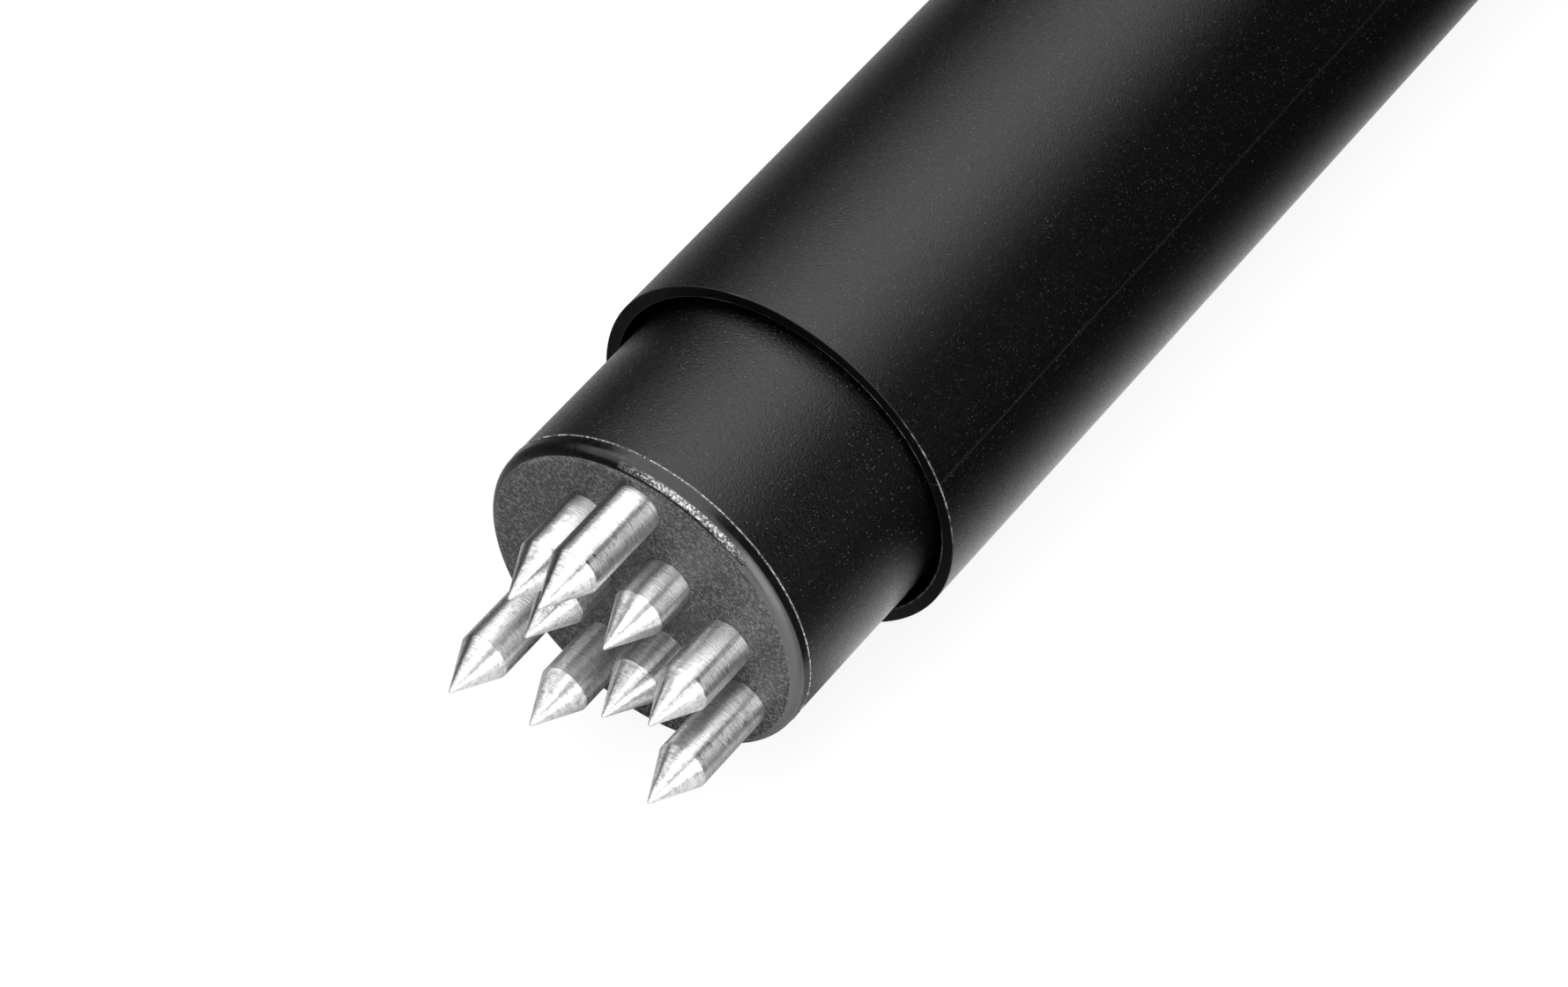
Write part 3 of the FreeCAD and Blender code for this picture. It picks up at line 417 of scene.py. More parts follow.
# %% Plastic finishes
CLOUDS, SPARKLE, SPARKLING_SAND = 90.0, 11000.0, 6000.0
CLOUD_LIGHTENS = 1.6
PALE_OF_WEAR_AND_GLINT = 0.80
DUST_AND_GLINT_COLOUR, DUST_AND_GLINT_COVERS, SPECKS_ROUGHEN = (0.34, 0.34, 0.33), 0.55, 0.4


def plastic(name, colour, roughness, cell, depth, fine=0.5, dust_share=0.4, sand_and_sparkle=0.0,
            broken_at=1400.0, specular=0.5):
    """Black plastic. cell is the grain in mm, depth its bump, broken_at the scale that breaks up the pale of
    wear and painted glints.
    """
    material, tree, shader, place = new_material(name, Specular_IOR_Level=specular)
    here = place["Object"]
    grain = add(tree, "ShaderNodeGroup", {"Vector": here, "Cell mm": cell, "Fine share": fine},
                node_tree=GRAIN)
    # Pale specks, partly dust and partly painted glints.
    pale_specks = add(tree, "ShaderNodeGroup", {"Vector": here, "Share": dust_share}, node_tree=DUST_AND_GLINTS)["Mask"]
    # Paled edges: wear on corners, and painted glints and a painted reflection on the plunger's rim and the
    # mouth's edges.
    wear = add(tree, "ShaderNodeAttribute", attribute_name="wear")["Fac"]
    cloudy = spread(tree, noise(tree, here, CLOUDS, 3.0), 0.0, 1.0, 0.35, 0.7)
    base = mix_colours(tree, cloudy, colour, tuple(part * CLOUD_LIGHTENS for part in colour))
    pale = times(tree, spread(tree, noise(tree, here, broken_at, 2.0), 0.12, 1.0, 0.42, 0.60),
                 spread(tree, noise(tree, here, SPARKLE, 1.0), 0.2, 1.0, 0.42, 0.58))
    # A slight share is paled evenly, which on the plunger's rim is a painted reflection of the bright floor.
    even = spread(tree, wear, 1.0, 0.0, 0.09, 0.14)
    pale = times(tree, wear, calc(tree, "MAXIMUM", pale, even))
    # Pale sand specks on the face, partly painted sparkle.
    if sand_and_sparkle:
        pale = calc(tree, "ADD", pale, spread(tree, noise(tree, here, SPARKLING_SAND, 1.0), 0.0, sand_and_sparkle, 0.46, 0.68))
    base = mix_colours(tree, pale, base, PALE_OF_WEAR_AND_GLINT)
    base = mix_colours(tree, times(tree, pale_specks, DUST_AND_GLINT_COVERS), base, DUST_AND_GLINT_COLOUR)
    rough = spread(tree, grain["Mask"], roughness - 0.05, roughness + 0.06, 0.35, 0.65)
    rough = calc(tree, "ADD", rough, times(tree, pale_specks, SPECKS_ROUGHEN), clamp=True)
    surface(tree, shader, base, rough, grain["Height"], depth, cell * 0.5)
    return material


FINISH = {
    "tube": plastic("satin_black_tube", (0.0006, 0.0007, 0.0008), 0.24, 0.13, 0.50),
    "plunger": plastic("leathery_black_plunger", (0.0012, 0.0013, 0.0014), 0.20, 0.17, 0.54),
    "collar": plastic("smooth_black_collar", (0.0020, 0.0021, 0.0022), 0.26, 0.5, 0.03, dust_share=0.1,
                      broken_at=5000.0),
    "face": plastic("sanded_black_face", (0.0130, 0.0131, 0.0132), 0.24, 0.16, 0.85, fine=0.8, sand_and_sparkle=0.135),
    "ring": plastic("charcoal_ring", (0.02, 0.02, 0.021), 0.45, 0.25, 0.10),
    "knob": plastic("polished_black_knob", (0.004, 0.004, 0.004), 0.20, 0.8, 0.03, fine=0.2, dust_share=0.08),
    "mouth": plastic("dull_black_mouth", (0.0016, 0.0017, 0.0018), 0.5, 0.5, 0.02, dust_share=0.06,
                     specular=0.06),
}
print("plastic finishes:", sorted(FINISH))

# %% [markdown]
# ## Finish: turned and rolled metal
# The spikes are bright steel straight from the lathe. The rings and streaks of the turning group vary the
# roughness and the height, and blotches dull the metal where it has been handled. Other values of the same
# recipe give the crank, the spring, brass and chrome.

# %% Metal finishes
MARK_HEIGHT = 0.08


def metal(name, colour, dark, roughness, rings=9.0, streaks=3.0, depth=0.12, blotchy=0.12, on_uv=False,
          swing=0.14, brushed=0.0, ring_length=1.1, laid=(0.0, 0.0, 0.0)):
    """Worked metal. swing is how far the rings vary the roughness, and laid turns marks without a UV map."""
    material, tree, shader, place = new_material(name, Metallic=1.0, Anisotropic=brushed,
                                                 Anisotropic_Rotation=0.25)
    if brushed:
        along = add(tree, "ShaderNodeTangent", direction_type="UV_MAP", uv_map="UVMap")
        tree.links.new(along[0], shader["Tangent"])
    values = {"Ring length mm": ring_length, "Rings per mm": rings, "Streaks per mm": streaks}
    if on_uv:
        values["Vector"] = place["UV"]
        values["Seed"] = add(tree, "ShaderNodeAttribute", attribute_name="piece_seed")["Fac"]
    else:
        values["Vector"] = add(tree, "ShaderNodeMapping", {"Vector": place["Object"], "Scale": (1000.0,) * 3,
                                                           "Rotation": laid})[0]
    marks = add(tree, "ShaderNodeGroup", values, node_tree=TURNING)
    ring, streak, blotch = marks["Rings"], marks["Streaks"], marks["Blotch"]
    mottled = times(tree, spread(tree, blotch, 0.0, 1.0, 0.42, 0.68),
                    spread(tree, streak, 0.35, 1.0, 0.35, 0.65))
    mottled = calc(tree, "MULTIPLY_ADD", spread(tree, ring, 0.0, 1.0, 0.5, 0.62), 0.5, mottled, clamp=True)
    rough = spread(tree, ring, roughness - swing / 2, roughness + swing / 2, 0.35, 0.65)
    rough = calc(tree, "ADD", rough, times(tree, mottled, blotchy), clamp=True)
    height = calc(tree, "ADD", ring, times(tree, streak, 0.6))
    surface(tree, shader, mix_colours(tree, mottled, colour, dark), rough, height, depth, MARK_HEIGHT)
    return material


LENGTHWAYS = (math.pi / 2, 0.0, math.pi / 2)
FINISH |= {
    "spike": metal("turned_bright_steel", (0.90, 0.90, 0.895), 0.50, 0.30, rings=8.0,
                   depth=0.4, brushed=0.80, on_uv=True),
    "point": metal("turned_spike_point", (0.93, 0.93, 0.925), 0.62, 0.32, rings=4.0,
                   depth=0.7, brushed=0.5, on_uv=True),
    "spindle": metal("ground_steel", 0.56, (0.40, 0.40, 0.41), 0.26),
    "arm": metal("brushed_steel_strip", 0.60, 0.45, 0.30, rings=0.25, streaks=5.0, laid=LENGTHWAYS),
    "screw": metal("zinc_plated_steel", (0.62, 0.63, 0.64), (0.44, 0.45, 0.47), 0.28),
    "spring": metal("spring_wire", 0.50, 0.30, 0.24, rings=2.0),
    "sleeve": metal("rolled_steel_sleeve", 0.62, 0.48, 0.22, rings=5.0,
                    ring_length=9.0, streaks=0.3, depth=0.06, on_uv=True),
    "disc": metal("etched_steel_disc", 0.58, 0.40, 0.30),
    "nut": metal("chrome_plate", (0.68, 0.68, 0.69), (0.60, 0.60, 0.61), 0.08, depth=0.02, swing=0.04,
                 blotchy=0.04),
    "bush": metal("turned_brass", (0.72, 0.52, 0.22), (0.50, 0.34, 0.12), 0.28),
}
print("finishes with the metals:", len(FINISH))

# %% [markdown]
# ## Finish: nylon and rubber
# Two small soft parts remain: milky nylon washers between moving parts, and the black rubber ring that
# holds the lid. Both are dull, with a slow clouding of colour.

# %% Nylon and rubber
def dull_soft(name, colour, other, roughness, cell):
    material, tree, shader, place = new_material(name)
    values = {"Vector": place["Object"], "Cell mm": cell}
    grain = add(tree, "ShaderNodeGroup", values, node_tree=GRAIN)
    tint = mix_colours(tree, spread(tree, grain["Mask"], 0.0, 1.0, 0.3, 0.7), colour, other)
    rough = spread(tree, grain["Mask"], roughness - 0.06, roughness + 0.06, 0.3, 0.7)
    surface(tree, shader, tint, rough, grain["Height"], 0.06, cell * 0.4)
    return material


FINISH["washer"] = dull_soft("milky_nylon", (0.72, 0.70, 0.64), (0.80, 0.79, 0.75), 0.45, 0.5)
FINISH["seal"] = dull_soft("black_rubber", (0.010, 0.010, 0.010), (0.022, 0.022, 0.021), 0.6, 0.3)
print("all finishes:", len(FINISH))

# %% [markdown]
# ## The tube
# The tube is the body that the hand holds. Its mould opened along its length, so two faint parting lines
# run along it, a few hundredths of a millimetre proud. They are real geometry: the sweep gets extra points
# close to them and lifts those. The outline runs up the outside and back through the bore to the mouth.

# %% Tube with its parting lines
TUBE, BORE, TUBE_END = 15.0, 14.0, 95.0
PARTING = (24.0, 204.0)
LINE_HEIGHT, LINE_WIDTH = 0.035, 0.45


def parting_line(angle, radius, along):
    """The height of the parting line at an angle, on the outside of the wall only."""
    if radius < TUBE - 0.3:
        return 0.0
    nearest = min(abs((math.degrees(angle) - place + 180) % 360 - 180) for place in PARTING)
    return LINE_HEIGHT * max(0.0, 1 - nearest / LINE_WIDTH) ** 2


tube_outline = [(TUBE, 0.0, 0.05, 0.02)]
tube_outline += [(TUBE, along) for along in (12.0, 30.0, 50.0, 70.0, 86.5, 91.5, TUBE_END)]
tube_outline += [(BORE, along) for along in (TUBE_END, 91.5, 86.5, 40.0)]
tube_outline.append((BORE, 0.0, 0.10, 0.02))
tube_mesh = lathe("tube", tube_outline, 288, fine=PARTING, width=LINE_WIDTH, lift=parting_line)
print("tube swept:", len(tube_mesh.polygons), "faces")

# %% [markdown]
# The mouth's two edges are paled in places, partly as wear and partly as painted glints where the edges
# catch the light. A share of paling is painted on the vertices of an edge, over spans of angle that fade
# out at both ends. Three small countersunk screws hold the end cap. Their seats are cut with a Boolean
# modifier, its cutter a cone swept with the same lathe and turned to point along a radius. It is evaluated
# once and the result kept as a plain mesh, because a finished piece carries no live cutter.

# %% Edges paled with wear and painted glints, and screw seats of the tube
FADE = 14.0
# Spans where the mouth's edges are paled, partly wear and partly painted glints.
OUTER_EDGE_PALE_SPANS = [(2, 46, 0.6), (96, 110, 0.12)]
BORE_EDGE_PALE_SPANS = [(24, 78, 0.5), (-54, 8, 0.3), (104, 118, 0.3)]
SCREW_ANGLES = (90.0, 210.0, 330.0)
SCREW_PLACE = 89.0


def pale_in_spans(mesh, radius, along, spans, reach=0.16):
    """Pale an edge of a turned piece over some spans of angle: (from, to, share of paling), in degrees. The
    paling is wear and painted glints.
    """
    paled = mesh.attributes["wear"].data
    for vertex in mesh.vertices:
        x, y, z = vertex.co / MM
        if abs(math.hypot(x, z) - radius) < reach and abs(y - along) < reach:
            angle = math.degrees(math.atan2(z, x))
            for first, last, share in spans:
                ramp = min(angle - first, last - angle) / FADE
                if ramp > 0.0 and paled[vertex.index].value > 0.0:
                    paled[vertex.index].value = max(paled[vertex.index].value, share * min(1.0, ramp))


def evaluated(holder, **how):
    """The plain mesh that an object's modifiers make."""
    graph = bpy.context.evaluated_depsgraph_get()
    return bpy.data.meshes.new_from_object(holder.evaluated_get(graph), depsgraph=graph, **how)


def cut(mesh, cutters):
    """Take cutter meshes away from a mesh, and give back the plain result."""
    helper = bpy.data.objects.new("work", mesh)
    tool = bpy.data.objects.new("tool", cutters)
    for item in (helper, tool):
        show(item)
    modifier = helper.modifiers.new("cut", "BOOLEAN")
    modifier.object, modifier.operation, modifier.solver = tool, "DIFFERENCE", "EXACT"
    result = evaluated(helper)
    for item in (helper, tool):
        bpy.data.objects.remove(item)
    return result


def joined(name, meshes):
    """One mesh of several."""
    work = bmesh.new()
    for mesh in meshes:
        work.from_mesh(mesh)
    return built(name, work)


def radial_copy(mesh, angle, along):
    """A copy of a mesh modelled along +Y, laid along the radius at an angle and moved along the axis."""
    copy = mesh.copy()
    turned = Matrix.Rotation(math.radians(-angle), 4, "Y") @ Matrix.Rotation(math.radians(-90), 4, "Z")
    copy.transform(Matrix.Translation((0, along * MM, 0)) @ turned)
    return copy


pale_in_spans(tube_mesh, TUBE, 0.0, OUTER_EDGE_PALE_SPANS, 0.07)
pale_in_spans(tube_mesh, BORE, 0.0, BORE_EDGE_PALE_SPANS)
seat = lathe("seat", [(0, 12.6), (1.05, 12.6), (1.05, 13.75), (2.06, 14.78), (2.06, 16.0), (0, 16.0)], 32)
seats = joined("seats", [radial_copy(seat, angle, SCREW_PLACE) for angle in SCREW_ANGLES])
tube = finished("tube", cut(tube_mesh, seats), FINISH["tube"], "housing", ["barrel"])
tube.data.materials.append(FINISH["mouth"])
for face in tube.data.polygons:
    if face.normal.y < -0.1 and abs(face.center.y) < 0.06 * MM:
        face.material_index = 1

# %% [markdown]
# ## The end cap
# The cap plugs the far end. A flange of the tube's own width closes it, with a well rounded outer edge, and
# a low boss carries the brass bush that the spindle turns in. It is swept in one piece with its spigot
# inside the tube.

# %% End cap
BUSH_HOLE, SPIGOT_OUT, BOSS, FLANGE_TOP, BOSS_TOP = 5.0, 13.93, 8.5, 99.0, 100.5
cap_outline = [(BUSH_HOLE, 83.0, 0.3), (SPIGOT_OUT, 83.0, 0.5), (SPIGOT_OUT, TUBE_END), (TUBE, TUBE_END, 0.2),
               (TUBE, FLANGE_TOP, 1.6), (BOSS, FLANGE_TOP, 0.3), (BOSS, BOSS_TOP, 0.6), (BUSH_HOLE, BOSS_TOP)]
cap_mesh = cut(lathe("end_cap", cap_outline, 192), seats)
finished("cap_of_tube", cap_mesh, FINISH["tube"], "housing", ["end_cap"])

# %% [markdown]
# ## The plunger
# The plunger is a cup that slides in the tube, pushed out by the spring. Its closed end is the flat face
# with the spikes. The outer edge of the face is rounded, and a hair of flash stands on the wall 1.6 mm
# behind it, where the two halves of the mould met. Flash catches the light as a thin bright line, so it is
# part of the outline, and its tip is painted pale as well, a painted highlight. The rounding is paled over
# three spans: a faint even band on the right is a painted reflection of the bright floor, a strong broken
# band at the top is a painted glint, and a faint line at the upper left of the face's edge is paled too.

# %% Plunger cup
CUP, CUP_BORE, CUP_END, FACE, FLASH = 13.25, 10.95, 29.0, -16.25, -14.65
FACE_ROUND, FLOOR_THICK = 0.95, 6.5
# Rim paling: a painted reflection of the floor, a painted glint, and a faint pale line on the face's edge.
RIM_PALE_SPANS = ((0.25, 0.40, (-75, 62, 0.08), 0.45), (0.24, 0.31, (46, 98, 0.95), 0.21),
            (0.80, 0.02, (84, 142, 0.14), 0.13))
# The flash's tip is painted pale along the flash, a painted highlight.
cup_outline = [(0.0, FACE), (CUP, FACE, FACE_ROUND, 0.001), (CUP, FLASH - 0.05, 0.01, 0.3),
               (CUP + 0.06, FLASH, 0.02, 1.0), (CUP, FLASH + 0.05, 0.01, 0.3), (CUP, 0.0),
               (CUP, CUP_END, 0.3), (CUP_BORE, CUP_END, 0.2), (CUP_BORE, FACE + FLOOR_THICK, 1.0),
               (0.0, FACE + FLOOR_THICK)]
shell_mesh = lathe("plunger", cup_outline, 256, steps=12)
for inward, back, span, reach in RIM_PALE_SPANS:
    pale_in_spans(shell_mesh, CUP - inward, FACE + back, [span], reach)
finished("plunger_shell", shell_mesh, FINISH["plunger"], "plunger", ["plunger_cup"])
for finish in ("collar", "face"):
    shell_mesh.materials.append(FINISH[finish])
for face in shell_mesh.polygons:
    if face.center.y < FLASH * MM:
        face.material_index = 2 if face.normal.y < -0.9 else 1

# %% [markdown]
# ## Things that stand in a ring
# Spikes, screws and teeth all repeat round the axis. One Geometry Nodes tree places copies of any piece at
# equal angles on a circle, turned to face outward, and gives each a random seed that the finish can read.
# It ends by making the copies real and setting their material, and its result is kept as a plain mesh.

# %% The ring tree
def geometry_tree(name, inputs):
    """A Geometry Nodes tree with inputs of the given kinds, and the sockets of its input node."""
    tree = bpy.data.node_groups.new(name, "GeometryNodeTree")
    for label, kind in inputs.items():
        tree.interface.new_socket(label, in_out="INPUT", socket_type="NodeSocket" + kind)
    tree.interface.new_socket("Geometry", in_out="OUTPUT", socket_type="NodeSocketGeometry")
    return tree, tree.nodes.new("NodeGroupInput").outputs


def ended(tree, geometry, finish):
    """The same tree, ended: its copies are made real and get their material."""
    real = add(tree, "GeometryNodeRealizeInstances", {0: geometry})
    painted = add(tree, "GeometryNodeSetMaterial", {"Geometry": real[0], "Material": finish})
    add(tree, "NodeGroupOutput", {0: painted[0]})
    return tree


def ring_tree():
    tree, given = geometry_tree("stand_in_a_ring", {
        "Piece": "Object", "Count": "Int", "Ring radius": "Float", "First angle": "Float", "Along": "Float",
        "Turn each": "Float", "Seed": "Int", "Finish": "Material"})
    number = add(tree, "GeometryNodeInputIndex")[0]
    step = calc(tree, "DIVIDE", 2 * math.pi, given["Count"])
    angle = calc(tree, "MULTIPLY_ADD", number, step, given["First angle"])
    place = add(tree, "ShaderNodeCombineXYZ", {
        0: times(tree, calc(tree, "COSINE", angle), given["Ring radius"]),
        1: given["Along"],
        2: times(tree, calc(tree, "SINE", angle), given["Ring radius"])})
    points = add(tree, "GeometryNodePoints", {"Count": given["Count"], "Position": place[0]})
    seed = in_use(add(tree, "FunctionNodeRandomValue", {"Seed": given["Seed"]}, data_type="FLOAT"), "Value")
    stored = {"Geometry": points[0], "Name": "piece_seed", "Value": seed}
    marked = add(tree, "GeometryNodeStoreNamedAttribute", stored, data_type="FLOAT", domain="POINT")
    spin = calc(tree, "MULTIPLY_ADD", seed, given["Turn each"], times(tree, angle, -1.0))
    turned = add(tree, "ShaderNodeCombineXYZ", {1: spin})
    piece = add(tree, "GeometryNodeObjectInfo", {"Object": given["Piece"], "As Instance": True})
    copies = add(tree, "GeometryNodeInstanceOnPoints", {
        "Points": marked[0], "Instance": piece["Geometry"], "Rotation": turned[0]})
    return ended(tree, copies[0], given["Finish"])


def grown(name, tree, **values):
    """The plain mesh that a Geometry Nodes tree makes with these input values."""
    holder = bpy.data.objects.new(name, bpy.data.meshes.new(name + "_start"))
    show(holder)
    modifier = holder.modifiers.new("grow", "NODES")
    modifier.node_group = tree
    named = {item.name.lower().replace(" ", "_"): item.identifier for item in tree.interface.items_tree
             if item.item_type == "SOCKET" and item.in_out == "INPUT"}
    for label, value in values.items():
        modifier[named[label]] = value
    mesh = evaluated(holder, preserve_all_data_layers=True)
    bpy.data.objects.remove(holder)
    mesh.name = name
    return mesh


def pattern_piece(mesh):
    """An object that a tree copies. It is never linked to the scene, so it isn't seen itself."""
    mesh.shade_smooth()
    mesh.set_sharp_from_angle(angle=math.radians(25))
    return bpy.data.objects.new(mesh.name, mesh)


RING_TREE = ring_tree()
print("ring tree:", [item.name for item in RING_TREE.interface.items_tree if item.item_type == "SOCKET"])

# %% [markdown]
# ## The nine spikes
# Each spike is a turned pin of 3.9 mm with a pointed cone, pressed into a blind hole in the face. Three
# stand far out and are long, three are middling, and three near the middle are short, so that together they
# grip a round nut. The pin is swept once for each length, with a tiny flat on its tip and a crisp shoulder,
# and the ring tree sets it round the axis. The fine steps that a lathe tool leaves on the cone are real
# terraces in its outline.

# %% Spikes
PIN, CONE, TIP, DEPTH = 1.95, 3.95, 0.1, 5.0
CONE_RINGS, RING_HEIGHT = 15, 0.008
FULL_TURN = 6.28
SPIKE_RINGS = (("outer", 9.85, 91.0, 7.0), ("middle", 7.4, 126.0, 5.05), ("inner", 4.4, 57.5, 3.35))


def spike(shank):
    """The mesh of one pin, its tip towards -Y and the plastic's face at y = 0."""
    tip = -(shank + CONE)
    corners = [(0.0, tip), (TIP, tip, 0.03)]
    for step in range(1, 2 * CONE_RINGS):
        share = step / (2 * CONE_RINGS)
        proud = RING_HEIGHT if step % 2 else 0.0
        corners.append((TIP + (PIN - TIP) * share + proud, tip + CONE * share))
    corners += [(PIN, tip + CONE, 0.02), (PIN, -0.02), (PIN, DEPTH - 0.4), (PIN - 0.4, DEPTH), (0.0, DEPTH)]
    return lathe("spike", corners, 64, steps=2)


for number, (ring, radius, first, shank) in enumerate(SPIKE_RINGS):
    mesh = grown(f"{ring}_spikes", RING_TREE, piece=pattern_piece(spike(shank)), count=3,
                 ring_radius=radius * MM, first_angle=math.radians(first), along=FACE * MM,
                 turn_each=FULL_TURN, seed=11 + number, finish=FINISH["spike"])
    nodes = [f"{ring}_spike_{n}" for n in (1, 2, 3)]
    finished(f"{ring}_spikes", mesh, None, "plunger", nodes, 0)
    mesh.materials.append(FINISH["point"])
    for face in mesh.polygons:
        if face.normal.y < -0.2:
            face.material_index = 1

# %% [markdown]
# ## Small slotted screws
# Six countersunk screws of one size hold the cap in the tube and the hub in the plunger. One is swept and
# its slot cut, then the ring tree lays three round each place. They are modelled along +X, which the tree
# turns to the radius.

# %% Screws
SCREW_LONG, HEAD_DEEP, SHANK, HEAD = 5.5, 1.1, 0.98, 2.0
SLOT_WIDE, SLOT_DEEP = 0.5, 0.35


def slotted_screw(top):
    """A countersunk screw along +X, the top of its head at the given distance from the axis."""
    body = lathe("screw", [(0.0, top - SCREW_LONG), (0.5, top - SCREW_LONG), (SHANK, top - SCREW_LONG + 0.5),
                           (SHANK, top - HEAD_DEEP), (HEAD, top - 0.12, 0.05), (HEAD, top, 0.05),
                           (0.0, top)], 48)
    blade = bmesh.new()
    bmesh.ops.create_cube(blade, size=1.0)
    place = Matrix.Translation((0, (top + 0.5 - SLOT_DEEP) * MM, 0))
    size = Matrix.Diagonal((6 * MM, 1.0 * MM, SLOT_WIDE * MM, 1))
    bmesh.ops.transform(blade, verts=blade.verts, matrix=place @ size)
    screw = cut(body, built("blade", blade))
    screw.transform(Matrix.Rotation(math.radians(-90), 4, "Z"))
    return screw


for name, top, first, along, body, nodes in (
        ("tube_screws", 14.84, SCREW_ANGLES[0], SCREW_PLACE, "housing", "cap_screw"),
        ("hub_screws", 13.09, 31.0, 25.5, "plunger", "hub_screw")):
    mesh = grown(name, RING_TREE, piece=pattern_piece(slotted_screw(top)), count=3, ring_radius=0.0,
                 first_angle=math.radians(first), along=along * MM, turn_each=0.0, seed=3,
                 finish=FINISH["screw"])
    finished(name, mesh, None, body, [f"{nodes}_{n}" for n in (1, 2, 3)], 0)

# %% [markdown]
# ## The return spring
# A helix of wire pushes the plunger out. A tree draws it: a spiral curve, and a round section swept along
# it. The plunger squeezes it against the washer at the crank end.

# %% Spring
def spring_tree():
    tree, given = geometry_tree("coil_of_wire", {
        "Turns": "Float", "Coil radius": "Float", "Length": "Float", "Wire radius": "Float", "Start": "Float",
        "Finish": "Material"})
    coil = add(tree, "GeometryNodeCurveSpiral", {
        "Resolution": 48, "Rotations": given["Turns"], "Start Radius": given["Coil radius"],
        "End Radius": given["Coil radius"], "Height": given["Length"], "Reverse": False})
    section = add(tree, "GeometryNodeCurvePrimitiveCircle", {
        "Resolution": 14, "Radius": given["Wire radius"]})
    wire = add(tree, "GeometryNodeCurveToMesh", {0: coil[0], 1: section[0], "Fill Caps": True})
    start = add(tree, "ShaderNodeCombineXYZ", {1: given["Start"]})
    laid = add(tree, "GeometryNodeTransform", {"Geometry": wire[0], "Translation": start[0],
                                               "Rotation": (-math.pi / 2, 0, 0)})
    return ended(tree, laid[0], given["Finish"])


SPRING_LOW, SPRING_HIGH, SPRING_TRAVEL = 29.06, 78.88, 20.0
COIL, WIRE, TURNS = 8.6, 0.6, 9.0
spring_mesh = grown("return_coil", spring_tree(), turns=TURNS, coil_radius=COIL * MM, wire_radius=WIRE * MM,
                    length=(SPRING_HIGH - SPRING_LOW - 2 * WIRE) * MM, start=(SPRING_LOW + WIRE) * MM,
                    finish=FINISH["spring"])
coil = finished("return_coil", spring_mesh, None, "drive", ["return_spring"], 40)
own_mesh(coil)

# %% [markdown]
# ## The grating head
# The head is a short piece of the same tube with a steel sleeve in its mouth, which slides in the big tube.
# Near its bottom a ledge holds the grating disc. It is swept like the tube and carries the same parting
# lines.

# %% Head shell and sleeve
HEAD_LOW, HEAD_HIGH = (corner.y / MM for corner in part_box("head_shell"))
LEDGE, LEDGE_LOW, LEDGE_HIGH = 12.6, HEAD_LOW + 8.6, HEAD_LOW + 9.8
shell_outline = [(TUBE, HEAD_LOW, 0.2), (TUBE, HEAD_HIGH, 0.25), (BORE, HEAD_HIGH, 0.12), (BORE, LEDGE_HIGH),
                 (LEDGE, LEDGE_HIGH, 0.1), (LEDGE, LEDGE_LOW), (BORE, LEDGE_LOW), (BORE, HEAD_LOW, 0.12)]
head_mesh = lathe("head_tube", shell_outline, 288, fine=PARTING, width=LINE_WIDTH, lift=parting_line)
finished("head_tube", head_mesh, FINISH["tube"], "head", ["head_shell"])

SLEEVE_LOW, SLEEVE_HIGH = (corner.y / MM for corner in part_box("head_sleeve"))
SLEEVE, SLEEVE_BORE, SLEEVE_TIP = 13.93, 13.53, 13.80
sleeve_outline = [(SLEEVE_BORE, SLEEVE_LOW, 0.08), (SLEEVE, SLEEVE_LOW, 0.08), (SLEEVE, SLEEVE_HIGH - 0.6),
                  (SLEEVE_TIP, SLEEVE_HIGH, 0.08), (SLEEVE_BORE, SLEEVE_HIGH, 0.08)]
finished("steel_sleeve", lathe("sleeve", sleeve_outline, 256, steps=3), FINISH["sleeve"], "head",
         ["head_sleeve"])

# %% [markdown]
# ## Torn burrs on the grating disc
# The disc's holes are punched from behind, and the metal tears into a crown of sharp little flaps round
# each hole. The CAD solid has the smooth crowns. A jagged rim is added on each by the ring tree: a short
# tube of few faces whose top edge goes up and down at random, and every copy is turned by its own seed.

# %% Burrs
LARGEST = 2147483648
TEAR_MIDDLE, TEAR_HEIGHT = 0.35, 0.34
TOOTH_RINGS = ((3.6, 6), (7.0, 12), (10.4, 18))


def torn_rim(points=14, seed=5):
    """A little crown of torn metal round a punched hole, 0.8 mm in radius, its foot on the solid's crown."""
    chance = seed
    work = bmesh.new()
    rows = []
    for radius, height in ((1.02, -0.18), (0.93, 0.0), (0.83, 0.0), (0.80, -0.3)):
        row = []
        for step in range(points):
            chance = (chance * 1103515245 + 12345) % LARGEST
            tear = (chance / LARGEST - TEAR_MIDDLE) * TEAR_HEIGHT if height == 0.0 else 0.0
            angle = 2 * math.pi * step / points
            row.append(work.verts.new((radius * math.cos(angle) * MM, (height + tear) * MM,
                                       radius * math.sin(angle) * MM)))
        rows.append(row)
    for low, high in zip(rows, rows[1:] + rows[:1]):
        for step in range(points):
            after = (step + 1) % points
            work.faces.new((low[step], low[after], high[after], high[step]))
    bmesh.ops.recalc_face_normals(work, faces=work.faces)
    return built("torn_rim", work)


DISC_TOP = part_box("grating_disc")[1].y / MM
burr = pattern_piece(torn_rim())
rims = [grown(f"burrs_{count}", RING_TREE, piece=burr, count=count, ring_radius=radius * MM, first_angle=0.0,
              along=DISC_TOP * MM, turn_each=FULL_TURN, seed=count, finish=FINISH["disc"])
        for radius, count in TOOTH_RINGS]
burrs = finished("torn_burrs", joined("torn_burrs", rims), FINISH["disc"], None, [])
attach(burrs, "head")

# %% [markdown]
# ## The lid
# The lid closes the bottom of the head and keeps the rest of a nutmeg. It is a shallow cup, its flange as
# wide as the tube, its spigot grooved for a rubber ring. Shallow flutes round the flange give a grip: six
# steps of the sweep make one flute, and the points in its middle are sunk by a seventh of a millimetre.

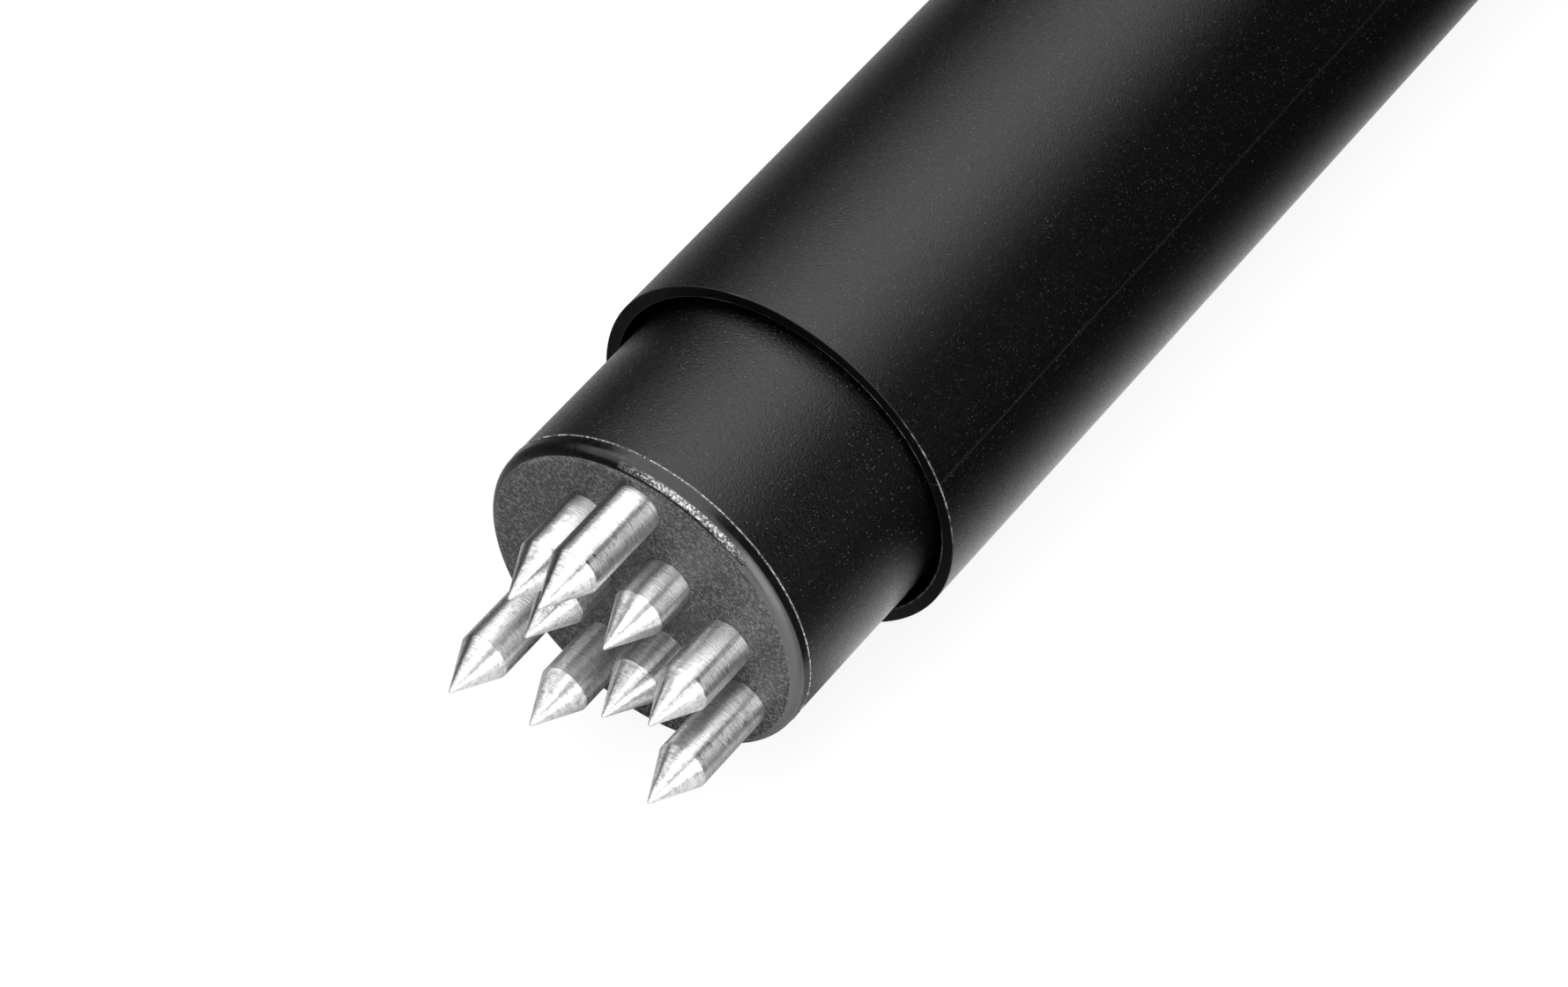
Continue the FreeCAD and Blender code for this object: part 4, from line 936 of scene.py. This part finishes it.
# %% Lid
LID_LOW, LID_HIGH = (corner.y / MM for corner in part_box("lid"))
SPIGOT, GROOVE, CUP_WALL = 13.7, 12.95, 12.0
GROOVE_LOW, GROOVE_HIGH = HEAD_LOW + 2.05, HEAD_LOW + 3.45
FLUTES, FLUTE_DEEP, LID_FLOOR = 72, 0.14, 1.8


def grip(angle, radius, along):
    """Sink shallow flutes round the flange of the lid."""
    if radius < TUBE - 0.05 or not LID_LOW + 1.6 < along < HEAD_LOW - 0.9:
        return 0.0
    return -FLUTE_DEEP * (0.5 - 0.5 * math.cos(angle * FLUTES)) ** 2


lid_outline = [(0.0, LID_LOW), (TUBE, LID_LOW, 1.2), (TUBE, LID_LOW + 1.5), (TUBE, LID_LOW + 1.8),
               (TUBE, HEAD_LOW - 1.1), (TUBE, HEAD_LOW - 0.8), (TUBE, HEAD_LOW, 0.15), (SPIGOT, HEAD_LOW),
               (SPIGOT, GROOVE_LOW), (GROOVE, GROOVE_LOW), (GROOVE, GROOVE_HIGH), (SPIGOT, GROOVE_HIGH),
               (SPIGOT, LID_HIGH, 0.3), (CUP_WALL, LID_HIGH, 0.15), (CUP_WALL, LID_LOW + LID_FLOOR, 0.6),
               (0.0, LID_LOW + LID_FLOOR)]
lid_mesh = lathe("lid_cup", lid_outline, 6 * FLUTES, steps=6, lift=grip)
finished("lid_cup", lid_mesh, FINISH["tube"], "lid", ["lid"])

# %% [markdown]
# ## The knob
# The knob turns freely on its pin. It swells in the middle so that three fingers hold it, and it is
# polished. Points are taken along its swell, which is a long arc, and the ends are rounded.

# %% Knob
KNOB_X, KNOB_Z = 41.569, -6.0
KNOB_LOW, KNOB_LONG, BELLY, BELLY_AT, SIDE_ARC = 105.44, 24.0, 9.0, 15.0, 34.0
KNOB_HIGH = KNOB_LOW + KNOB_LONG
PIN_HOLE, POCKET, POCKET_DEEP = 2.55, 4.75, 2.4
SWELL_FROM, SWELL_LONG, SWELL_STEPS = 1.6, 20.4, 24


def knob_side(height):
    """The radius of the knob at a height above its foot."""
    return BELLY - (SIDE_ARC - math.sqrt(SIDE_ARC ** 2 - (height - BELLY_AT) ** 2))


heights = [SWELL_FROM + SWELL_LONG * step / SWELL_STEPS for step in range(SWELL_STEPS + 1)]
knob_outline = [(PIN_HOLE, KNOB_LOW, 0.15), (knob_side(0.0), KNOB_LOW, 0.8)]
knob_outline += [(knob_side(height), KNOB_LOW + height) for height in heights]
knob_outline += [(knob_side(KNOB_LONG), KNOB_HIGH, 1.6), (POCKET, KNOB_HIGH, 0.3),
                 (POCKET, KNOB_HIGH - POCKET_DEEP, 0.3), (PIN_HOLE, KNOB_HIGH - POCKET_DEEP)]
knob_mesh = lathe("knob", knob_outline, 128, steps=6)
knob_mesh.transform(Matrix.Translation((KNOB_X * MM, 0, KNOB_Z * MM)))
finished("turned_knob", knob_mesh, FINISH["knob"], "knob", ["knob_grip"], 50)

# %% [markdown]
# ## The solids that keep their own mesh
# The other solids already have the right shape: the crank, the spindle, washers, clip, nut, bush and the
# rings in the head. Their meshes stay as they are, and each gets the finish of its own material.

# %% Finishes of the carried solids
CARRIED = {
    "spindle": ["spindle", "knob_pin"], "arm": ["crank_arm"], "nut": ["crank_nut"], "bush": ["shaft_bush"],
    "washer": ["thrust_washer", "knob_washer"], "seal": ["lid_ring"], "disc": ["grating_disc"],
    "ring": ["disc_ring"], "plunger": ["plunger_hub"],
    "screw": ["stop_screw", "stop_washer", "retaining_clip", "spring_washer", "arm_washer"],
}
for finish, nodes in CARRIED.items():
    for node in nodes:
        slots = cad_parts[node].data.materials
        if not len(slots):
            slots.append(FINISH[finish])
        for number in range(len(slots)):
            slots[number] = FINISH[finish]
print("carried solids:", sum(len(nodes) for nodes in CARRIED.values()))

# %% [markdown]
# ## The table
# The grater lies on a plain white sheet, like a small product on a light table. A black glossy thing is
# drawn only by what it reflects, so the dark round it matters as much as the lamps: reflections see a painted
# pool of light on the sheet, which ends a little way off on each side and has painted shade close beside the
# tube. The camera sees it white, with a small share of real shading that keeps the shadow.

# %% Floor
FLOOR, SHEET_HALF = -15.0 * MM, 4.0
SHEET_COLOUR, SHEET_GLOW, GLOW_SHARE = (0.82, 0.82, 0.82, 1.0), 1.08, 0.8
WHITE = (1, 1, 1, 1)
floor_mesh = bpy.data.meshes.new("sheet")
corners = ((-1, -1), (1, -1), (1, 1), (-1, 1))
floor_mesh.from_pydata([(x * SHEET_HALF, y * SHEET_HALF, FLOOR) for x, y in corners], [], [(0, 1, 2, 3)])
floor = bpy.data.objects.new("floor_sheet", floor_mesh)
show(floor)


def either(tree, share, first, second):
    """Mix two shaders by a share."""
    return add(tree, "ShaderNodeMixShader", {0: share, 1: first, 2: second})[0]


def pool_of_light(tree):
    """How bright reflections see each place of the sheet. The places are in metres, as across and along."""
    place = add(tree, "ShaderNodeTexCoord")["Object"]
    across, along, _ = add(tree, "ShaderNodeSeparateXYZ", {0: place})
    side = calc(tree, "MULTIPLY_ADD", along, 0.12, across)
    right_edge = spread(tree, side, 1.0, 0.02, 0.017, 0.030)
    front_edge = spread(tree, along, 1.0, 0.0, -0.024, -0.016)
    left_edge = calc(tree, "ADD", spread(tree, across, 0.10, 0.53, -0.075, -0.034),
                     spread(tree, across, 0.0, 0.47, -0.026, -0.014))
    pool = times(tree, calc(tree, "MAXIMUM", right_edge, front_edge), left_edge)
    # Painted shade: the pool is darkened close in front of the mouth, under the plunger.
    from_axis = calc(tree, "ABSOLUTE", across)
    beside = calc(tree, "ADD", spread(tree, from_axis, 0.33, 0.0, 0.006, 0.012),
                  spread(tree, from_axis, 0.65, 0.0, 0.018, 0.024))
    before = spread(tree, along, 0.0, 1.0, -0.024, -0.018)
    behind = spread(tree, along, 1.0, 0.0, -0.006, -0.002)
    painted_contact_shade = times(tree, beside, times(tree, before, behind))
    pool = times(tree, pool, calc(tree, "SUBTRACT", 1.0, painted_contact_shade))
    return times(tree, pool, spread(tree, across, 1.0, 1.35, 0.030, 0.060))


def sheet_finish():
    """White to the camera, matt to lamps, and a pool of light to reflections."""
    material = bpy.data.materials.new("white_sheet")
    material.use_nodes = True
    tree = material.node_tree
    tree.nodes.clear()
    rays = add(tree, "ShaderNodeLightPath")
    matt = add(tree, "ShaderNodeBsdfDiffuse", {"Color": SHEET_COLOUR})[0]
    glow = add(tree, "ShaderNodeEmission", {"Color": WHITE, "Strength": SHEET_GLOW})[0]
    mirror = add(tree, "ShaderNodeEmission", {"Color": WHITE, "Strength": pool_of_light(tree)})[0]
    seen = either(tree, GLOW_SHARE, matt, glow)
    glossy = calc(tree, "MAXIMUM", rays["Is Glossy Ray"], rays["Is Transmission Ray"])
    plain = either(tree, rays["Is Camera Ray"], matt, seen)
    add(tree, "ShaderNodeOutputMaterial", {"Surface": either(tree, glossy, plain, mirror)})
    return material


floor_mesh.materials.append(sheet_finish())
print("sheet at", FLOOR / MM, "mm")

# %% [markdown]
# ## The light
# Four soft area lamps are aimed at the mouth of the tube. The big one above stands where the top of the
# tube mirrors it. The card on the left draws the left sides, the small lamp in front picks out the rounded
# edge of the plunger, and the card at the front right lights the right flanks of the spikes' cones. The
# world adds a low even light for what faces nothing, and is dark to reflections.

# %% Lamps and world
WORLD_SEEN, WORLD_FILL, WORLD_MIRRORED = 1.0, 0.35, 0.01


def soft_box(name, towards, distance, wide, high, power):
    """A rectangular soft lamp in a direction from the mouth of the tube, facing it."""
    lamp = bpy.data.lights.new(name, "AREA")
    lamp.shape = "RECTANGLE"
    lamp.size, lamp.size_y = wide, high
    lamp.energy = power
    holder = bpy.data.objects.new(name, lamp)
    way = Vector(towards).normalized()
    holder.location = way * distance
    holder.rotation_mode = "QUATERNION"
    holder.rotation_quaternion = way.to_track_quat("Z", "Y")
    show(holder)
    print(f"{name}: {power} W")


soft_box("overhead_box", (-0.07, 0.14, 0.98), 0.8, 1.0, 1.5, 10.8)
soft_box("left_card", (-0.74, -0.08, 0.64), 0.9, 0.85, 0.5, 1.8)
soft_box("front_lamp", (-0.03, -0.80, 0.57), 0.8, 0.16, 0.16, 1.6)
soft_box("front_card", (0.90, -0.33, 0.26), 0.7, 0.6, 0.7, 4.6)

world = bpy.data.worlds.new("studio")
bpy.context.scene.world = world
world.use_nodes = True
sky = world.node_tree
sky.nodes.clear()
rays = add(sky, "ShaderNodeLightPath")
seen, fill, mirrored = (add(sky, "ShaderNodeBackground", {"Color": WHITE, "Strength": strength})[0]
                        for strength in (WORLD_SEEN, WORLD_FILL, WORLD_MIRRORED))
plain = either(sky, rays["Is Glossy Ray"], fill, mirrored)
add(sky, "ShaderNodeOutputWorld", {"Surface": either(sky, rays["Is Camera Ray"], plain, seen)})

bpy.context.scene.view_settings.view_transform = "Standard"
